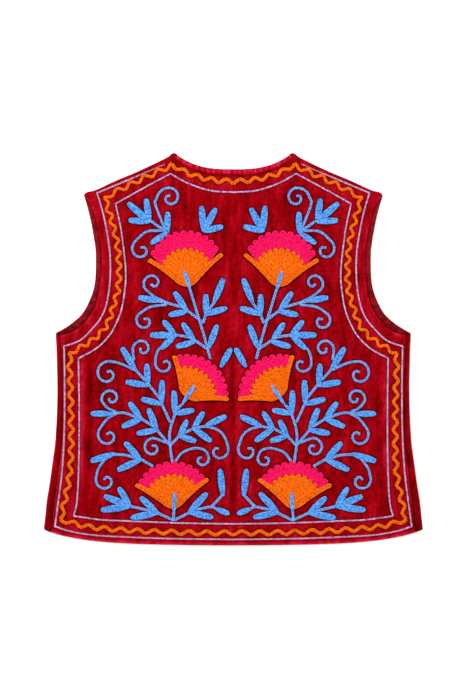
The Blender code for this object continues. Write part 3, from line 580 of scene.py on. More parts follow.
OUTER_ROW = (((92, 515), (140, 494.5), (184, 476)),
             ((184, 476), (175.5, 447), (168.5, 410), (166, 382), (167, 353), (171, 327), (179, 307),
              (191, 292), (204, 279), (214, 273.5), (228.5, 269)),
             ((228.5, 269), (227.6, 215), (228.3, 150), (231.5, 98), (236.5, 57), (240.8, 26)),
             ((240.8, 26), (222, 19.5), (192, 14.2), (150, 11.5), (80, 9), (0, 8)))
LINK_STEPS = 8
LINK_SIDES = 5
LINK_FLATNESS = 0.9
FOOT_RISE = 0.22           # how much of its yarn's thickness a stitch's foot is raised, over the one before
SLOPE_REACH = 1.6          # how far to each side of a stitch the cloth's slope is taken
TURN_SPREAD = 0.06         # how much the stitches vary: in radians, and as shares of their width and length
WIDTHS = (0.93, 1.05)
LENGTHS = (0.95, 1.08)
chance = random.Random(17)


def chain_link(name, length, width, yarn, foot=0.56):
    """One chain stitch along +Y: a loop of yarn, narrow and raised at its foot, round at its head."""
    bm = bmesh.new()
    bmesh.ops.create_circle(bm, segments=LINK_SIDES, radius=yarn / 2)
    bmesh.ops.rotate(bm, verts=bm.verts, matrix=Matrix.Rotation(math.pi / 2, 3, "X"))
    loop_radius = (width - yarn) / 2
    bmesh.ops.translate(bm, verts=bm.verts, vec=(loop_radius, 0, 0))
    bmesh.ops.spin(bm, geom=bm.verts[:] + bm.edges[:], cent=(0, 0, 0), axis=(0, 0, 1),
                   angle=2 * math.pi, steps=LINK_STEPS, use_merge=True)
    bmesh.ops.remove_doubles(bm, verts=bm.verts, dist=yarn / 100)
    twist = bm.loops.layers.uv.new("twist")
    for face in bm.faces:
        middle = face.calc_center_median()
        turn = math.atan2(middle.y, middle.x) / (2 * math.pi)
        lean = math.atan2(middle.z, math.hypot(middle.x, middle.y) - loop_radius) / (2 * math.pi)
        for corner in face.loops:
            spot = corner.vert.co
            along = math.atan2(spot.y, spot.x) / (2 * math.pi)
            round_it = math.atan2(spot.z, math.hypot(spot.x, spot.y) - loop_radius) / (2 * math.pi)
            corner[twist].uv = (along - round(along - turn), round_it - round(round_it - lean))
    for vert in bm.verts:
        forward = vert.co.y / (width / 2)
        vert.co.x *= (1 + foot + (1 - foot) * forward) / 2
        vert.co.y *= (length - yarn) / (width - yarn)
        vert.co.z = vert.co.z * LINK_FLATNESS + FOOT_RISE * yarn * (1 - forward)
    bmesh.ops.recalc_face_normals(bm, faces=bm.faces)
    bmesh.ops.scale(bm, verts=bm.verts, vec=(MM, MM, MM))
    return saved_mesh(bm, name)


def along_path(path):
    """A path's length, and a function that gives the places at distances along it."""
    path = np.array(path, float)
    run = np.concatenate([[0], np.cumsum(np.hypot(*np.diff(path, axis=0).T))])

    def at(distance):
        return np.stack([np.interp(distance, run, path[:, axis]) for axis in (0, 1)], axis=1)

    return run[-1], at


def row_seats(path, pitch, lift=0.0):
    """Stitches spread evenly along a path: each one's place, heading, stretch and lift."""
    length, at = along_path(path)
    count = max(1, round(length / pitch))
    stops = (np.arange(count) + 0.5) * length / count
    reach = 0.35 * pitch
    heading = at(stops + reach) - at(stops - reach)
    heading /= np.maximum(np.linalg.norm(heading, axis=1, keepdims=True), 1e-9)
    return [(*place, *way, length / count / pitch, lift) for place, way in zip(at(stops), heading)]


def add_mesh(bm, mesh):
    bm.from_mesh(mesh)
    bpy.data.meshes.remove(mesh)


def work_stitches(bm, link, seats):
    """Puts a copy of the link on each seat, turned along its row and to the slope of the cloth."""
    seats = np.array(seats)
    x, y, ahead_x, ahead_y = seats[:, :4].T

    def slope(across, up):
        across, up = SLOPE_REACH * across, SLOPE_REACH * up
        return (back_face(x + across, y + up) - back_face(x - across, y - up)) / (2 * SLOPE_REACH)

    height, rise_ahead, rise_aside = back_face(x, y), slope(ahead_x, ahead_y), slope(ahead_y, -ahead_x)
    for i, (_, _, _, _, stretch, lift) in enumerate(seats):
        ahead = Vector((ahead_x[i], ahead_y[i], rise_ahead[i])).normalized()
        aside = Vector((ahead_y[i], -ahead_x[i], rise_aside[i])).normalized()
        turn = Matrix.Rotation(chance.gauss(0, TURN_SPREAD), 3, "Z")
        size = Matrix.Diagonal((chance.uniform(*WIDTHS), stretch * chance.uniform(*LENGTHS), 1.0))
        stance = Matrix((aside, ahead, aside.cross(ahead))).transposed() @ turn @ size
        stance = stance.to_4x4()
        stance.translation = Vector((x[i], y[i] - LENGTH / 2, height[i] + lift)) * MM
        stitch = link.copy()
        stitch.transform(stance)
        add_mesh(bm, stitch)


def seats_on_both_sides(paths, pitch):
    """Seats along each path and along its mirror image."""
    return [seat for path in paths for side in (path, mirrored(path)) for seat in row_seats(side, pitch)]


def with_mirror(half):
    """A path that goes on through its last place to its mirror image."""
    return half + mirrored(half)[-2::-1]


def smooth_stretches(stretches, spacing):
    """A path that is smooth along each stretch and sharp where two stretches meet."""
    return joined(*[curve_through(knots, spacing) for knots in stretches])


def yarn_material(name, shades, ply, contrast, depth):
    """Dyed yarn: plies twisted round each other, with soft loose fibres, and painted shade down between the
    stitches.
    """
    material, tree, shader, place = new_material(name)
    along = add_node(tree, "UVMap", uv_map="twist").outputs["UV"]
    parts = add_node(tree, "SeparateXYZ", {"Vector": along})
    turned = scaled_sum(tree, parts.outputs["X"], ply, parts.outputs["Y"])
    strands = scaled_sum(tree, turned, 2 * math.pi * 2, 0.0)
    strands = add_node(tree, "Math", {0: strands}, operation="SINE").outputs[0]
    fuzz = noise(tree, place, 2600.0, 2.0, 0.8)
    shade = scaled_sum(tree, noise(tree, place, 420.0, 2.0, 0.6), contrast, 0.55 - contrast / 2 - depth)
    shade = scaled_sum(tree, strands, 0.07 * contrast, shade)
    shade = scaled_sum(tree, fuzz, 0.2, shade)
    # Painted shade, as strong as the depth, where other yarn stands within 1.5 mm.
    shade = scaled_sum(tree, shaded_hollows(tree, 0.0015), depth, shade)
    tone = colour_steps(tree, shade, tuple(zip((0.25, 0.45, 0.6, 0.85), shades)))
    fibres = relief(tree, scaled_sum(tree, fuzz, 0.8, strands), 0.4, 0.00015)
    finish_surface(tree, shader, tone, fibres,
                   {"Roughness": 0.75, "Specular IOR Level": 0.08, "Sheen Weight": 0.1,
                    "Sheen Roughness": 0.5, "Sheen Tint": linear(shades[2])})
    return material


def finish_stitching(bm, name, material):
    """One object from all the stitches of a colour and kind."""
    piece = made_object(bm, name, material)
    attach(piece, "root")


# Two-ply wool yarn in pale lavender, with flecks of white and violet where it was dyed unevenly.
lavender_yarn = yarn_material("two_ply_wool_lavender", ("#58306A", "#8C689C", "#BA94BA", "#E0C4DC"),
                              3, 1.4, 0.3)
fine_link = chain_link("fine_link", FINE_PITCH + 0.8, FINE_WIDTH, FINE_YARN)
bm = bmesh.new()
work_stitches(bm, fine_link, row_seats(with_mirror(smooth_stretches(INNER_ROW, 4)), FINE_PITCH))
# The outer row sinks into the pile where the edge is turned in: along the hem and up to the neck points.
outer_seats = []
for seat in row_seats(with_mirror(smooth_stretches(OUTER_ROW, 4)), FINE_PITCH):
    near_hem, near_neck = (eased((seat[1] - start) / (end - start)) for start, end in (HEM_RAMP, NECK_RAMP))
    outer_seats.append((*seat[:5], float(OUTER_LIFT + HEM_LIFT * near_hem + NECK_LIFT * near_neck)))
work_stitches(bm, fine_link, outer_seats)
finish_stitching(bm, "fine_border_rows", lavender_yarn)

# ----------------------------------------
# The zigzag: one row of thick orange chain stitch that waves between the fine rows all round the back.
ZIGZAG_PITCH = 2.7
ZIGZAG_YARN_SHARE = 0.43   # how thick its yarn is, as a share of the stitch's width
# The border in stretches: how many tips it has, how far they swing to each side of the mean line, how much
# closer together they are at its start, and the knots of the mean line.
#                     tips swing crowding  knots
ZIGZAG_STRETCHES = ((9,  2.9,  1.0, ((0, 491), (30, 494), (60, 502), (84, 515.4))),
                    (10, 3.2,  1.0, ((84, 515.4), (95, 507.6), (129.3, 492.2), (174, 469.8))),
                    (28, 3.0,  1.0, ((174, 469.8), (163, 435), (155.5, 397), (154.7, 352), (161.6, 323.6),
                                     (170, 299), (184, 282), (203, 269), (221.2, 259.6))),
                    (24, 3.0,  1.0, ((221.2, 259.6), (218.9, 180), (219.4, 110), (225.4, 70), (233, 35.4))),
                    (21, 2.8,  1.08, ((233, 35.4), (200, 26), (150, 21), (100, 18.5), (50, 17), (0, 17))))
NECK_AND_HEM_WIDTH = 6.1   # of its stitches
SIDE_WIDTH = 5.8
ARMHOLE_WIDTH = 5.2


def zigzag_half():
    """The zigzag of one half: its tips swing to each side of the mean line in turn."""
    tips = []
    for swings, reach, crowding, knots in ZIGZAG_STRETCHES:
        length, at = along_path(curve_through(knots, 2))
        stops = length * (np.arange(swings) / swings) ** crowding
        ahead = at(stops + 3) - at(stops)
        ahead /= np.linalg.norm(ahead, axis=1, keepdims=True)
        left = np.stack([-ahead[:, 1], ahead[:, 0]], axis=1)
        swing = np.where((swings - np.arange(swings)) % 2, -reach, reach)
        if tips:
            swing[0] = 0.0     # a corner of the mean line is itself the tip of a wave
        tips += (at(stops) + left * swing[:, None]).tolist()
    end_x, end_y = knots[-1]
    tips[0][0] = 0.0
    return tips + [[end_x, end_y - reach]]


def zigzag_width(x, y):
    """How wide the zigzag's stitches are worked at a place."""
    along_hem, along_neck, up_side = y < 38, y > 488 and abs(x) < 86, y < 260
    if along_hem or along_neck:
        return NECK_AND_HEM_WIDTH
    return SIDE_WIDTH if up_side else ARMHOLE_WIDTH


# Thick soft wool yarn in bright orange.
orange_yarn = yarn_material("thick_wool_orange", ("#8A2000", "#C44800", "#DC5E00", "#EA7208"), 3, 1.2, 0.28)
zigzag_seats = row_seats(curve_through(with_mirror(zigzag_half()), 1.0), ZIGZAG_PITCH, -0.4)
bm = bmesh.new()
for width in (NECK_AND_HEM_WIDTH, SIDE_WIDTH, ARMHOLE_WIDTH):
    link = chain_link("zigzag_link", ZIGZAG_PITCH + 2.0, width, width * ZIGZAG_YARN_SHARE, 0.85)
    work_stitches(bm, link, [seat for seat in zigzag_seats if zigzag_width(*seat[:2]) == width])
finish_stitching(bm, "zigzag_border", orange_yarn)

# ----------------------------------------
# Stems and tendrils: single rows of thick light blue chain stitch, branching from each other. Every
# tendril runs smoothly out of its stem and winds in at its end.
STEM_WIDTH = 5.2
STEM_PITCH = 3.8
STEM_YARN = 1.8
TENDRIL_WIDTH = 4.8
TENDRIL_PITCH = 3.5
TENDRIL_YARN = 1.65
STEMS = (((111, 438), (100, 430), (91, 424)), ((58.5, 346), (50, 318), (40, 285), (31, 252)),
         ((41, 300), (37, 312)), ((33, 318), (26, 328)), ((42, 302), (62, 317)),
         ((66, 321), (88, 327), (101, 330)), ((33, 264), (52, 277)), ((56, 281), (77, 284)),
         ((82.4, 113), (85.3, 135), (85.4, 155), (78.6, 178)), ((79, 180), (70, 190)),
         ((85, 166), (96, 190)), ((98, 197), (114, 217)), ((119, 223), (132, 237)),
         ((86, 136), (102, 155)), ((108, 161), (124, 171)), ((130, 173), (148, 179), (166, 178)),
         ((86, 134), (73, 148)), ((68, 151), (54, 158)), ((49, 159), (37, 161)), ((108, 107), (124, 116)),
         ((131, 118), (145, 122), (160, 123)), ((80, 34), (102, 44)), ((112, 47), (139, 53)),
         ((80, 34), (60, 44)), ((52, 48), (30, 52), (22, 49)), ((30, 52), (22, 60), (15, 68)),
         ((81, 34), (80.4, 44)))
# Tendrils: the middle that the end winds in to, its turn in degrees and the way out from the stem.
#            curl x curl y turn way out
TENDRILS = ((85.9,  469.4, 370, ((92, 426), (104.9, 459.6), (103.7, 468.2), (100.2, 475.7), (94.7, 480.8),
                                 (86.3, 482.9))),
            (123.7, 399.3, 344, ((95, 425), (117, 423.6), (133.2, 409.6))),
            (108.4, 354.2, 362, ((88, 327), (106.5, 336), (119.8, 347.5))),
            (119,   303,   340, ((90, 325), (112, 322), (128.4, 311.4))),
            (92.5,  245,   322, ((98, 267.5), (101.6, 263), (104.5, 255.2), (105.1, 248.5))),
            (122.6, 265.4, 392, ((134, 250), (135.6, 262.6))),
            (169,   231.8, 390, ((133.5, 237), (146, 243), (157, 247), (168.2, 248.6))),
            (164.9, 198.5, 373, ((158, 180), (170, 186), (177.6, 195.5))),
            (168.5, 148.3, 355, ((158, 178), (170, 171), (180, 158))),
            (108.4, 131.8, 390, ((90, 138.6), (101.9, 143.3), (107.9, 145))),
            (43,    116.2, 295, ((78, 114), (68, 126), (51, 131.4), (38, 128.2), (33.5, 119.9))),
            (20.3,  128.2, 305, ((37, 161), (22, 156.5), (13, 148.8), (7.4, 134.3))),
            (172,   87.8,  357, ((172, 118), (182, 104), (184.6, 94.3))))
CURL_END_RADIUS = 1.9
CURL_STEP = 12.0
CURL_TIGHTEN = 1.1         # a higher power keeps a curl wide for longer before it closes


def tendril_path(curl_x, curl_y, turn, way_out):
    """A tendril: smooth out to its last place, then winding in round the curl's centre."""
    arm = np.subtract(way_out[-1], (curl_x, curl_y))
    heading = np.subtract(way_out[-1], way_out[-2])
    side = 1 if arm[0] * heading[1] - arm[1] * heading[0] > 0 else -1
    start_radius = float(np.linalg.norm(arm))
    start_angle = math.atan2(arm[1], arm[0])
    steps = round(turn / CURL_STEP)
    curl = []
    for step in range(1, steps + 1):
        share = step / steps
        radius = CURL_END_RADIUS + (start_radius - CURL_END_RADIUS) * (1 - share ** CURL_TIGHTEN)
        angle = start_angle + side * math.radians(turn) * share
        curl.append((curl_x + radius * math.cos(angle), curl_y + radius * math.sin(angle)))
    return curve_through(tuple(way_out) + tuple(curl[:1]), 2)[:-1] + curl


# Thick wool yarn in a soft greyish blue.
stem_yarn = yarn_material("thick_wool_soft_blue", ("#22408E", "#4C78C2", "#6A96DA", "#92B6F0"), 3, 1.2, 0.3)
stem_link = chain_link("stem_link", STEM_PITCH + 1.3, STEM_WIDTH, STEM_YARN)
tendril_link = chain_link("tendril_link", TENDRIL_PITCH + 1.2, TENDRIL_WIDTH, TENDRIL_YARN)
bm = bmesh.new()
work_stitches(bm, stem_link, seats_on_both_sides([curve_through(knots, 2) for knots in STEMS], STEM_PITCH))
finish_stitching(bm, "stems", stem_yarn)
bm = bmesh.new()
work_stitches(bm, tendril_link, seats_on_both_sides([tendril_path(*row) for row in TENDRILS], TENDRIL_PITCH))
finish_stitching(bm, "tendrils", stem_yarn)

# ----------------------------------------
# Leaves: fillings of brighter blue yarn, widest at their middle and round at the tip. A row of chain
# stitch runs up one edge, round the tip and down the other edge, and one more closes the middle, all over
# a flat underlay of yarn. The buds that grow into the fans are worked in the same way, over the fans.
FILL_WIDTH = 3.9
FILL_PITCH = 3.5
FILL_YARN = 1.55
LEAF_BASE_WIDTH = 7.3      # a leaf's width is this, and a share of its length
LEAF_WIDTH_SHARE = 0.075
LEAF_FOOT_SHARE = 0.5      # how wide a leaf is at its foot and at its tip, as shares of its full width
LEAF_TIP_SHARE = 0.64
LEAF_WIDEST = 0.52         # where it is widest, as a share of its length
NARROW_LEAF = 7.0          # up to this width a leaf has no row along its middle
UNDERLAY_RISE = 0.55
BED_SINK = 0.2             # how deep an underlay's edge is drawn into the pile
BED_RIM = 0.6
FILL_LIFT = 0.35           # how far a filling's stitches stand off the cloth, and the rows in their middle
CORE_LIFT = 0.5
BUD_LIFT = 1.5
LIFT_RAMP = 10.0           # how far from its foot a bud has climbed onto its fan
# Leaves, in sprigs: the foot they share, then the tip of each leaf.
#          x    y     tips
SPRIGS = ((113, 437, ((143, 463), (118, 469), (142, 439))),
          (89, 422,  ((88.5, 451),)),
          (40, 424,  ((43, 459), (23, 456), (13, 431))),
          (37, 312,  ((37, 340), (8, 321))),
          (26, 328,  ((13, 361),)),
          (62, 316,  ((80, 343), (88, 311))),
          (101, 330, ((129, 335),)),
          (52, 275,  ((69, 301), (78, 268))),
          (78, 284,  ((95, 304), (113, 284), (98, 265))),
          (33, 267,  ((21.4, 298.5),)),
          (17, 241,  ((2.5, 267),)),
          (97, 191,  ((96, 224), (125, 198))),
          (115, 216, ((117, 246), (146, 221))),
          (132, 237, ((151, 268),)),
          (103, 156, ((115, 186), (131, 151))),
          (124, 171, ((141, 194), (151, 160))),
          (166, 178, ((193, 178),)),
          (79, 178,  ((80, 210), (52, 183))),
          (73, 148,  ((61.6, 170), (49, 140.5))),
          (54, 158,  ((39.6, 181), (29, 140.3))),
          (37, 162,  ((8.6, 175),)),
          (125, 116, ((147, 140), (157, 101.5))),
          (160, 124, ((193.3, 113.7),)),
          (102, 44,  ((126, 66), (139, 37.2))),
          (139, 53,  ((155, 79), (175, 67.2), (179, 47.7))),
          (60, 45,   ((34.7, 71.5), (26.5, 37.7))),
          (14, 67,   ((18, 104),)),
          (23, 49.5, ((4.8, 42.5),)))
# The buds, and one leaf that lies over the edge of a fan like them: foot, tip and width.
BUDS = (((58, 344), (66, 370.5), 6.6),
        ((69, 190.5), (52, 216.5), 6.6),
        ((80.3, 43), (78.5, 72), 6.6),
        ((90, 422), (112, 407), 8.8))


def leaf_sides(foot, tip, width, inset, samples=15):
    """Both sides of a leaf's outline, moved in by the inset; they meet at its tip."""
    foot, tip = np.array(foot, float), np.array(tip, float)
    length = float(np.linalg.norm(tip - foot))
    ahead = (tip - foot) / length
    left = np.array((-ahead[1], ahead[0]))
    reach = length - inset
    tip_radius = width / 2 * (LEAF_TIP_SHARE + 0.06) - inset
    sides = ([], [])
    for share in np.linspace(0, 1, samples):
        along = reach * (1 - (1 - share) ** 1.5)
        off_middle = along / length - LEAF_WIDEST
        if off_middle < 0:
            flank = 1 - (1 - LEAF_FOOT_SHARE) * (off_middle / LEAF_WIDEST) ** 2
        else:
            flank = 1 - (1 - LEAF_TIP_SHARE) * (off_middle / (1 - LEAF_WIDEST)) ** 2
        tip_round = math.sqrt(max(0.0, 1 - max(0.0, (along - reach + tip_radius) / tip_radius) ** 2))
        half = max(0.0, (width / 2 * flank - inset) * tip_round)
        for side, direction in zip(sides, (1, -1)):
            side.append(tuple((foot + ahead * along + direction * half * left).tolist()))
    return sides


def climb(x, y, foot, lift):
    """How far a filling has been lifted at each place, when it climbs from the cloth at its foot."""
    return lift * eased(np.hypot(np.subtract(x, foot[0]), np.subtract(y, foot[1])) / LIFT_RAMP)


def underlay(bm, outline, rise, grid=None, foot=(0, 0), lift=0.0):
    """A low flat bed of yarn inside an outline, rounded down at its edge."""
    bed = bmesh.new()
    twist = bed.loops.layers.uv.new("twist")
    whole = bed.faces.new([bed.verts.new((x, y, 0)) for x, y in outline])
    whole.normal_update()
    bmesh.ops.inset_region(bed, faces=[whole], thickness=BED_RIM, use_boundary=True, use_even_offset=True)
    rim = {vert for edge in bed.edges if edge.is_boundary for vert in edge.verts}
    for vert in bed.verts:
        vert.co.z = 0.0 if vert in rim else 1.0
    if grid:
        cut_across(bed, 0, (-240, 240, grid))
        cut_across(bed, 1, (4, 520, grid))
    inner = np.array([min(1.0, vert.co.z) for vert in bed.verts])
    x, y = flat_places(bed)
    lay_down(bed, x, y, back_face(x, y) + climb(x, y, foot, lift) - BED_SINK + inner * (rise + BED_SINK))
    face_out(bed)
    for face in bed.faces:
        for corner in face.loops:
            corner[twist].uv = (0, 0.25)
    add_mesh(bm, saved_mesh(bed, "underlay"))


def work_leaf(bm, link, foot, tip, width, lift=0.0):
    """A leaf or a bud: its underlay, the row round its edge and the row along its middle."""
    left, right = leaf_sides(foot, tip, width, 0.5)
    underlay(bm, left + right[-2::-1], UNDERLAY_RISE, foot=foot, lift=lift)
    left, right = leaf_sides(foot, tip, width, FILL_WIDTH / 2)
    middle = [tuple(np.add(foot, np.subtract(tip, foot) * share).tolist()) for share in (0.2, 0.84)]
    seats = row_seats(left + right[-2::-1], FILL_PITCH, FILL_LIFT)
    if width > NARROW_LEAF:
        seats += row_seats(middle, FILL_PITCH, CORE_LIFT)
    work_stitches(bm, link, [(*seat[:5], seat[5] + float(climb(*seat[:2], foot, lift))) for seat in seats])


def work_leaves(name, rows, lift=0.0):
    """The leaves or buds in the rows of foot, tip and width, on both halves of the back."""
    bm = bmesh.new()
    for foot, tip, width in rows:
        for side in (1, -1):
            work_leaf(bm, fill_link, (side * foot[0], foot[1]), (side * tip[0], tip[1]), width, lift)
    finish_stitching(bm, name, blue_yarn)


fill_link = chain_link("fill_link", FILL_PITCH + 1.1, FILL_WIDTH, FILL_YARN, 0.75)
blue_yarn = yarn_material("thick_wool_light_blue", ("#1A3886", "#3A74C2", "#5092DA", "#6EB0EE"), 3, 1.6, 0.33)
work_leaves("leaves", [((x, y), tip, LEAF_BASE_WIDTH + LEAF_WIDTH_SHARE * math.dist((x, y), tip))
                       for x, y, tips in SPRIGS for tip in tips])
work_leaves("buds", BUDS, BUD_LIFT)

# ----------------------------------------
# Fan flowers: an orange fan filled with rows of chain stitch that spread from a flat base, looped at its
# rim into lobes, held by a double row that runs down one side, round the base and up the other, and
# crowned with a ring of hot pink lobes.
LOBE_ROW = 3.7
LOBE_ROUND = 80            # degrees to each side that the tip of a lobe is rounded
FILL_SPACING = 3.9         # between the rows of the fan's filling
BAR_WIDTH = 7.2
BAR_ROW = BAR_WIDTH / 2 - FILL_WIDTH / 2
GOLDEN_SHARE = 0.618       # spreads the rows that start first evenly over the fan
BAR_FLARE = 2.6            # how far a bar bends outwards at its tip
BAR_BED_END = 2.0          # how far its bed goes on past its end
BAR_KNOTS = (0.78, 0.52, 0.26, 0.07)   # places along a bar from its tip down, as shares of its length
PINK_TUCK = 1.5            # how far the pink's bed reaches in under the orange rim
PINK_DEPTH = 0.5           # how far inside the orange rim the loops of the lobes start
ORANGE_DEPTH = 9
CORE_ENDS = (5, 4)         # how far a pink lobe's core stays from the orange rim and from its own tip
ORANGE_RISE = 0.9          # the orange stands higher than the pink, and its bars highest
ORANGE_LIFT = 0.7
BAR_RISE = 0.4
BAR_LIFT = 1.05
BED_GRID = 9.0
SIDE_TURN = 46             # degrees from its axis at which a fan's radii have shrunk fully
SCALLOP_SHARE = 0.96       # how much of its half circle a scallop of the underlay goes round
ROW_SPOTS = 18             # places along a row of the filling
ROW_END = 8                # how far inside the rim the rows end
Fan = namedtuple("Fan", "x y bearing orange pink shrink base_out base_half bar_out bar_half pink_turn lobes")
# The centre of a fan's rims, its axis (from straight up, outwards positive), the radii of its orange and
# its pink, and the share by which they are smaller at its sides. Then the two ends of each side (how far
# out along the axis and how far to the side of it), half the spread of the pink, and the lobes of a rim.
#            x     y      bearing  orange  pink   shrink  base: out, half  bar: out, half  pink turn  lobes
FANS = (Fan(61.2, 343.1, 4.4,     59.2,   83.3,  0.18,   9.2,  5.8,       45.2, 47.9,     41.0,      11),
        Fan(71.4, 191.6, -38.5,   53.4,   70.8,  0.075,  14.2, 8.1,       43.9, 45.0,     43.5,      10),
        Fan(79.5, 38.8,  4.4,     58.5,   76.1,  0.13,   13.8, 4.4,       46.1, 47.0,     42.5,      10))


def fan_spot(fan, out, aside):
    """A place in a fan, by its distances along the fan's axis and to the side of it."""
    heading = math.radians(fan.bearing)
    return (float(fan.x + out * math.sin(heading) + aside * math.cos(heading)),
            float(fan.y + out * math.cos(heading) - aside * math.sin(heading)))


def turned_spot(fan, turn, reach):
    """A place in a fan by its turn from the axis, in radians, and its distance from the rims' centre."""
    return fan_spot(fan, reach * math.cos(turn), reach * math.sin(turn))


def narrowed(fan, turn, reach):
    """A radius of the fan, smaller towards its sides."""
    return reach * (1 - fan.shrink * np.minimum(1.0, np.abs(turn) / math.radians(SIDE_TURN)) ** 2)


def orange_turn(fan):
    """The turn at which the orange rim meets the fan's sides."""
    turns = np.radians(np.linspace(20, 60, 81))
    reach = narrowed(fan, turns, fan.orange)
    slope = (fan.bar_half - fan.base_half) / (fan.bar_out - fan.base_out)
    beyond = reach * np.sin(turns) - fan.base_half - slope * (reach * np.cos(turns) - fan.base_out)
    return float(np.interp(0, beyond, turns))


def lobe_path(fan, middle, half_turn, start, reach):
    """A loop of stitches round one lobe: out along one side, round its tip and back."""
    reach = float(narrowed(fan, middle, reach))
    half = reach * half_turn
    side = [(-half_turn, out) for out in evenly(start, reach - half, 2.5)]
    centre = reach - half
    tip = []
    for angle in np.linspace(-LOBE_ROUND, LOBE_ROUND, 7):
        around = math.radians(angle)
        tip.append((half * math.sin(around) / centre, centre + half * math.cos(around)))
    path = side + tip + mirrored(side)[::-1]
    return [turned_spot(fan, middle + turn, out) for turn, out in path]


def lobes(fan, rim, spread, depth):
    """Each lobe of a rim: its turn, the orange rim's radius there, and its loop from inside that rim."""
    for lobe in range(fan.lobes):
        middle = spread * (-1 + 2 * (lobe + 0.5) / fan.lobes)
        half_turn = spread / fan.lobes - LOBE_ROW / 2 / rim
        inner = float(narrowed(fan, middle, fan.orange))
        yield middle, inner, lobe_path(fan, middle, half_turn, inner - depth, rim - LOBE_ROW / 2)


def scalloped(fan, reach, spread):
    """The rim of a fan from one side to the other, with a round scallop for each lobe."""
    rim = []
    for lobe in range(fan.lobes):
        for across in (-SCALLOP_SHARE, -SCALLOP_SHARE / 2, 0, SCALLOP_SHARE / 2, SCALLOP_SHARE):
            turn = spread * (-1 + 2 * (lobe + 0.5 + across / 2) / fan.lobes)
            scallop = reach * spread / fan.lobes
            out = float(narrowed(fan, turn, reach)) - BED_RIM - scallop * (1 - math.sqrt(1 - across ** 2))
            rim.append(turned_spot(fan, turn, out))
    return rim


def fan_rows(fan, spread):
    """The rows of the filling: they fan out from the base, and more of them start further out."""
    length = fan.orange - fan.base_out
    shares = np.linspace(BAR_WIDTH / 2 / length, 1 - ROW_END / length, ROW_SPOTS)
    half_width = fan.base_half * (1 - shares) + fan.orange * (1 - fan.shrink) * math.sin(spread) * shares
    room = half_width - BAR_WIDTH / 2 + 0.3
    wanted = 2 * room / FILL_SPACING
    count = math.ceil(wanted[-1])
    starting_order = np.argsort((np.arange(count) * GOLDEN_SHARE + 0.5) % 1)
    weight = np.clip(wanted[:, None] - starting_order, 0, 1)
    before = np.cumsum(weight, axis=1) - weight / 2
    across = (2 * before / weight.sum(axis=1, keepdims=True) - 1) * (room / half_width)[:, None]
    rows = []
    for row in range(count):
        path = []
        for share, side, strength in zip(shares, across[:, row], weight[:, row]):
            if strength > 0.4:
                turn = side * spread
                reach = float(narrowed(fan, turn, fan.orange))
                path.append(fan_spot(fan, fan.base_out * (1 - share) + reach * math.cos(turn) * share,
                                     side * fan.base_half * (1 - share) + reach * math.sin(turn) * share))
        if len(path) > 1:
            rows.append(path)
    return rows


def bar_line(fan, offset, short=0.0):
    """The double row's line: down one side of the fan, round its base and up the other, moved outwards."""
    run = math.dist((fan.base_out, fan.base_half), (fan.bar_out, fan.bar_half))
    ahead = ((fan.bar_out - fan.base_out) / run, (fan.bar_half - fan.base_half) / run)
    half = []
    for share in (1 - short / run, *BAR_KNOTS):
        moved = offset + BAR_FLARE * (share ** 4 - share)
        half.append((fan.base_out + ahead[0] * run * share - ahead[1] * moved,
                     fan.base_half + ahead[1] * run * share + ahead[0] * moved))
    knots = half + [(fan.base_out - offset, 0.0)] + [(out, -aside) for out, aside in half[::-1]]
    return curve_through([fan_spot(fan, *knot) for knot in knots], 2)


orange_bm, pink_bm = bmesh.new(), bmesh.new()
orange_seats, pink_seats = [], []
for fan in [made for given in FANS for made in (given, given._replace(x=-given.x, bearing=-given.bearing))]:
    spread = orange_turn(fan)
    pink_side = math.radians(fan.pink_turn)
    # the pink ring
    foot = [turned_spot(fan, turn, float(narrowed(fan, turn, fan.orange)) - PINK_TUCK)
            for turn in np.linspace(pink_side, -pink_side, 15)]
    underlay(pink_bm, foot + scalloped(fan, fan.pink, pink_side), UNDERLAY_RISE, grid=BED_GRID)
    for middle, inner, path in lobes(fan, fan.pink, pink_side, PINK_DEPTH):
        pink_seats += row_seats(path, FILL_PITCH, FILL_LIFT)
        outer = float(narrowed(fan, middle, fan.pink))
        core = [turned_spot(fan, middle, reach) for reach in (inner + CORE_ENDS[0], outer - CORE_ENDS[1])]
        pink_seats += row_seats(core, FILL_PITCH, CORE_LIFT)
    # the orange fan
    sides = [fan_spot(fan, fan.base_out, fan.base_half), fan_spot(fan, fan.base_out, -fan.base_half)]
    underlay(orange_bm, sides + scalloped(fan, fan.orange, spread), ORANGE_RISE, grid=BED_GRID)
    for _, _, path in lobes(fan, fan.orange, spread, ORANGE_DEPTH):
        orange_seats += row_seats(path, FILL_PITCH, ORANGE_LIFT)
    for path in fan_rows(fan, spread):
        orange_seats += row_seats(path, FILL_PITCH, ORANGE_LIFT)
    # the double row round its sides and base
    outer, inner = (bar_line(fan, side * (BAR_WIDTH / 2 - BED_RIM), -BAR_BED_END) for side in (1, -1))
    underlay(orange_bm, outer + inner[::-1], ORANGE_RISE + BAR_RISE, grid=BED_GRID)
    outer, inner = bar_line(fan, BAR_ROW), bar_line(fan, -BAR_ROW)
    ends = [bar_line(fan, 0.0, -BAR_ROW)[end] for end in (0, -1)]
    orange_seats += row_seats(closed(outer + ends[1:] + inner[::-1] + ends[:1]), FILL_PITCH, BAR_LIFT)

# The same thick wool in hot pink.
pink_yarn = yarn_material("thick_wool_hot_pink", ("#8E0030", "#C40046", "#DE0652", "#EC2068"), 3, 1.2, 0.25)
work_stitches(orange_bm, fill_link, orange_seats)
finish_stitching(orange_bm, "fans_orange", orange_yarn)
work_stitches(pink_bm, fill_link, pink_seats)
finish_stitching(pink_bm, "fans_pink", pink_yarn)

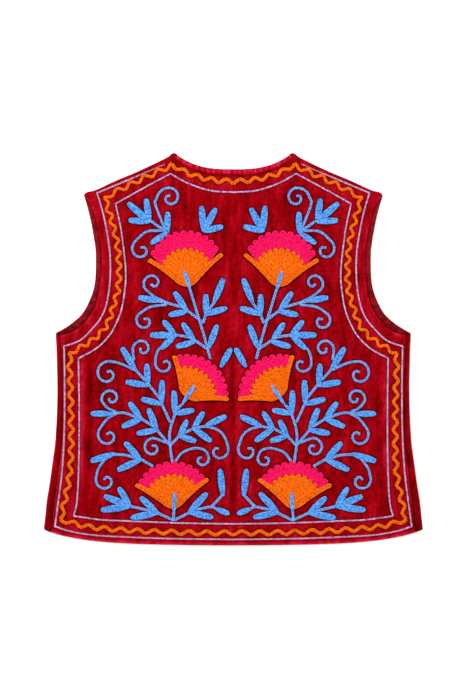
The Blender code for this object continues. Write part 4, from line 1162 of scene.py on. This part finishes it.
# ----------------------------------------
# The table, the lamps and the camera: a plain white table top under wide soft lamps, seen from straight
# above, so that the vest shows as it would in a catalogue.
TABLE_HALF = 2.5
TABLE_DROP = 0.0004        # the table top is this far below the vest
VIEW_DISTANCE = 2.231      # metres from the lens to the cloth
VIEW_CENTRE = (-0.0004, -0.0011)
CLOTH_TOP = 0.006
bm = bmesh.new()
bmesh.ops.create_grid(bm, x_segments=8, y_segments=8, size=TABLE_HALF)
bmesh.ops.translate(bm, verts=bm.verts, vec=(0, 0, -TABLE_DROP))

# Matt white laminate: even, with no gloss.
laminate, tree, shader, place = new_material("matt_white_laminate")
tone = colour_steps(tree, noise(tree, place, 3.0, 2.0), ((0.3, "#FBFBFB"), (0.7, "#FFFFFF")))
finish_surface(tree, shader, tone, None, {"Roughness": 0.9, "Specular IOR Level": 0.1})
table = made_object(bm, "table_top", laminate)

#          name          place              size  watts
LAMPS = (("key_lamp",   (-1.0, 1.1, 1.7),  1.5,  48),
         ("fill_lamp",  (1.2, -0.7, 1.8),  1.8,  18),
         ("top_lamp",   (0.0, 0.0, 2.6),   2.2,  22))
for name, spot, size, watts in LAMPS:
    light = bpy.data.lights.new(name, "AREA")
    light.energy = watts
    light.size = size
    lamp = bpy.data.objects.new(name, light)
    lamp.location = spot
    lamp.rotation_euler = (-Vector(spot)).to_track_quat("-Z", "Y").to_euler()
    bpy.context.scene.collection.objects.link(lamp)
world = bpy.data.worlds.new("studio")
world.use_nodes = True
world.node_tree.nodes["Background"].inputs["Color"].default_value = (1, 1, 1, 1)
world.node_tree.nodes["Background"].inputs["Strength"].default_value = 0.55
bpy.context.scene.world = world
bpy.context.scene.view_settings.view_transform = "Standard"

camera_data = bpy.data.cameras.new("camera")
camera_data.lens = 85
camera_data.sensor_width = 36
camera = bpy.data.objects.new("camera", camera_data)
camera.location = (*VIEW_CENTRE, CLOTH_TOP + VIEW_DISTANCE)
bpy.context.scene.collection.objects.link(camera)
bpy.context.scene.camera = camera
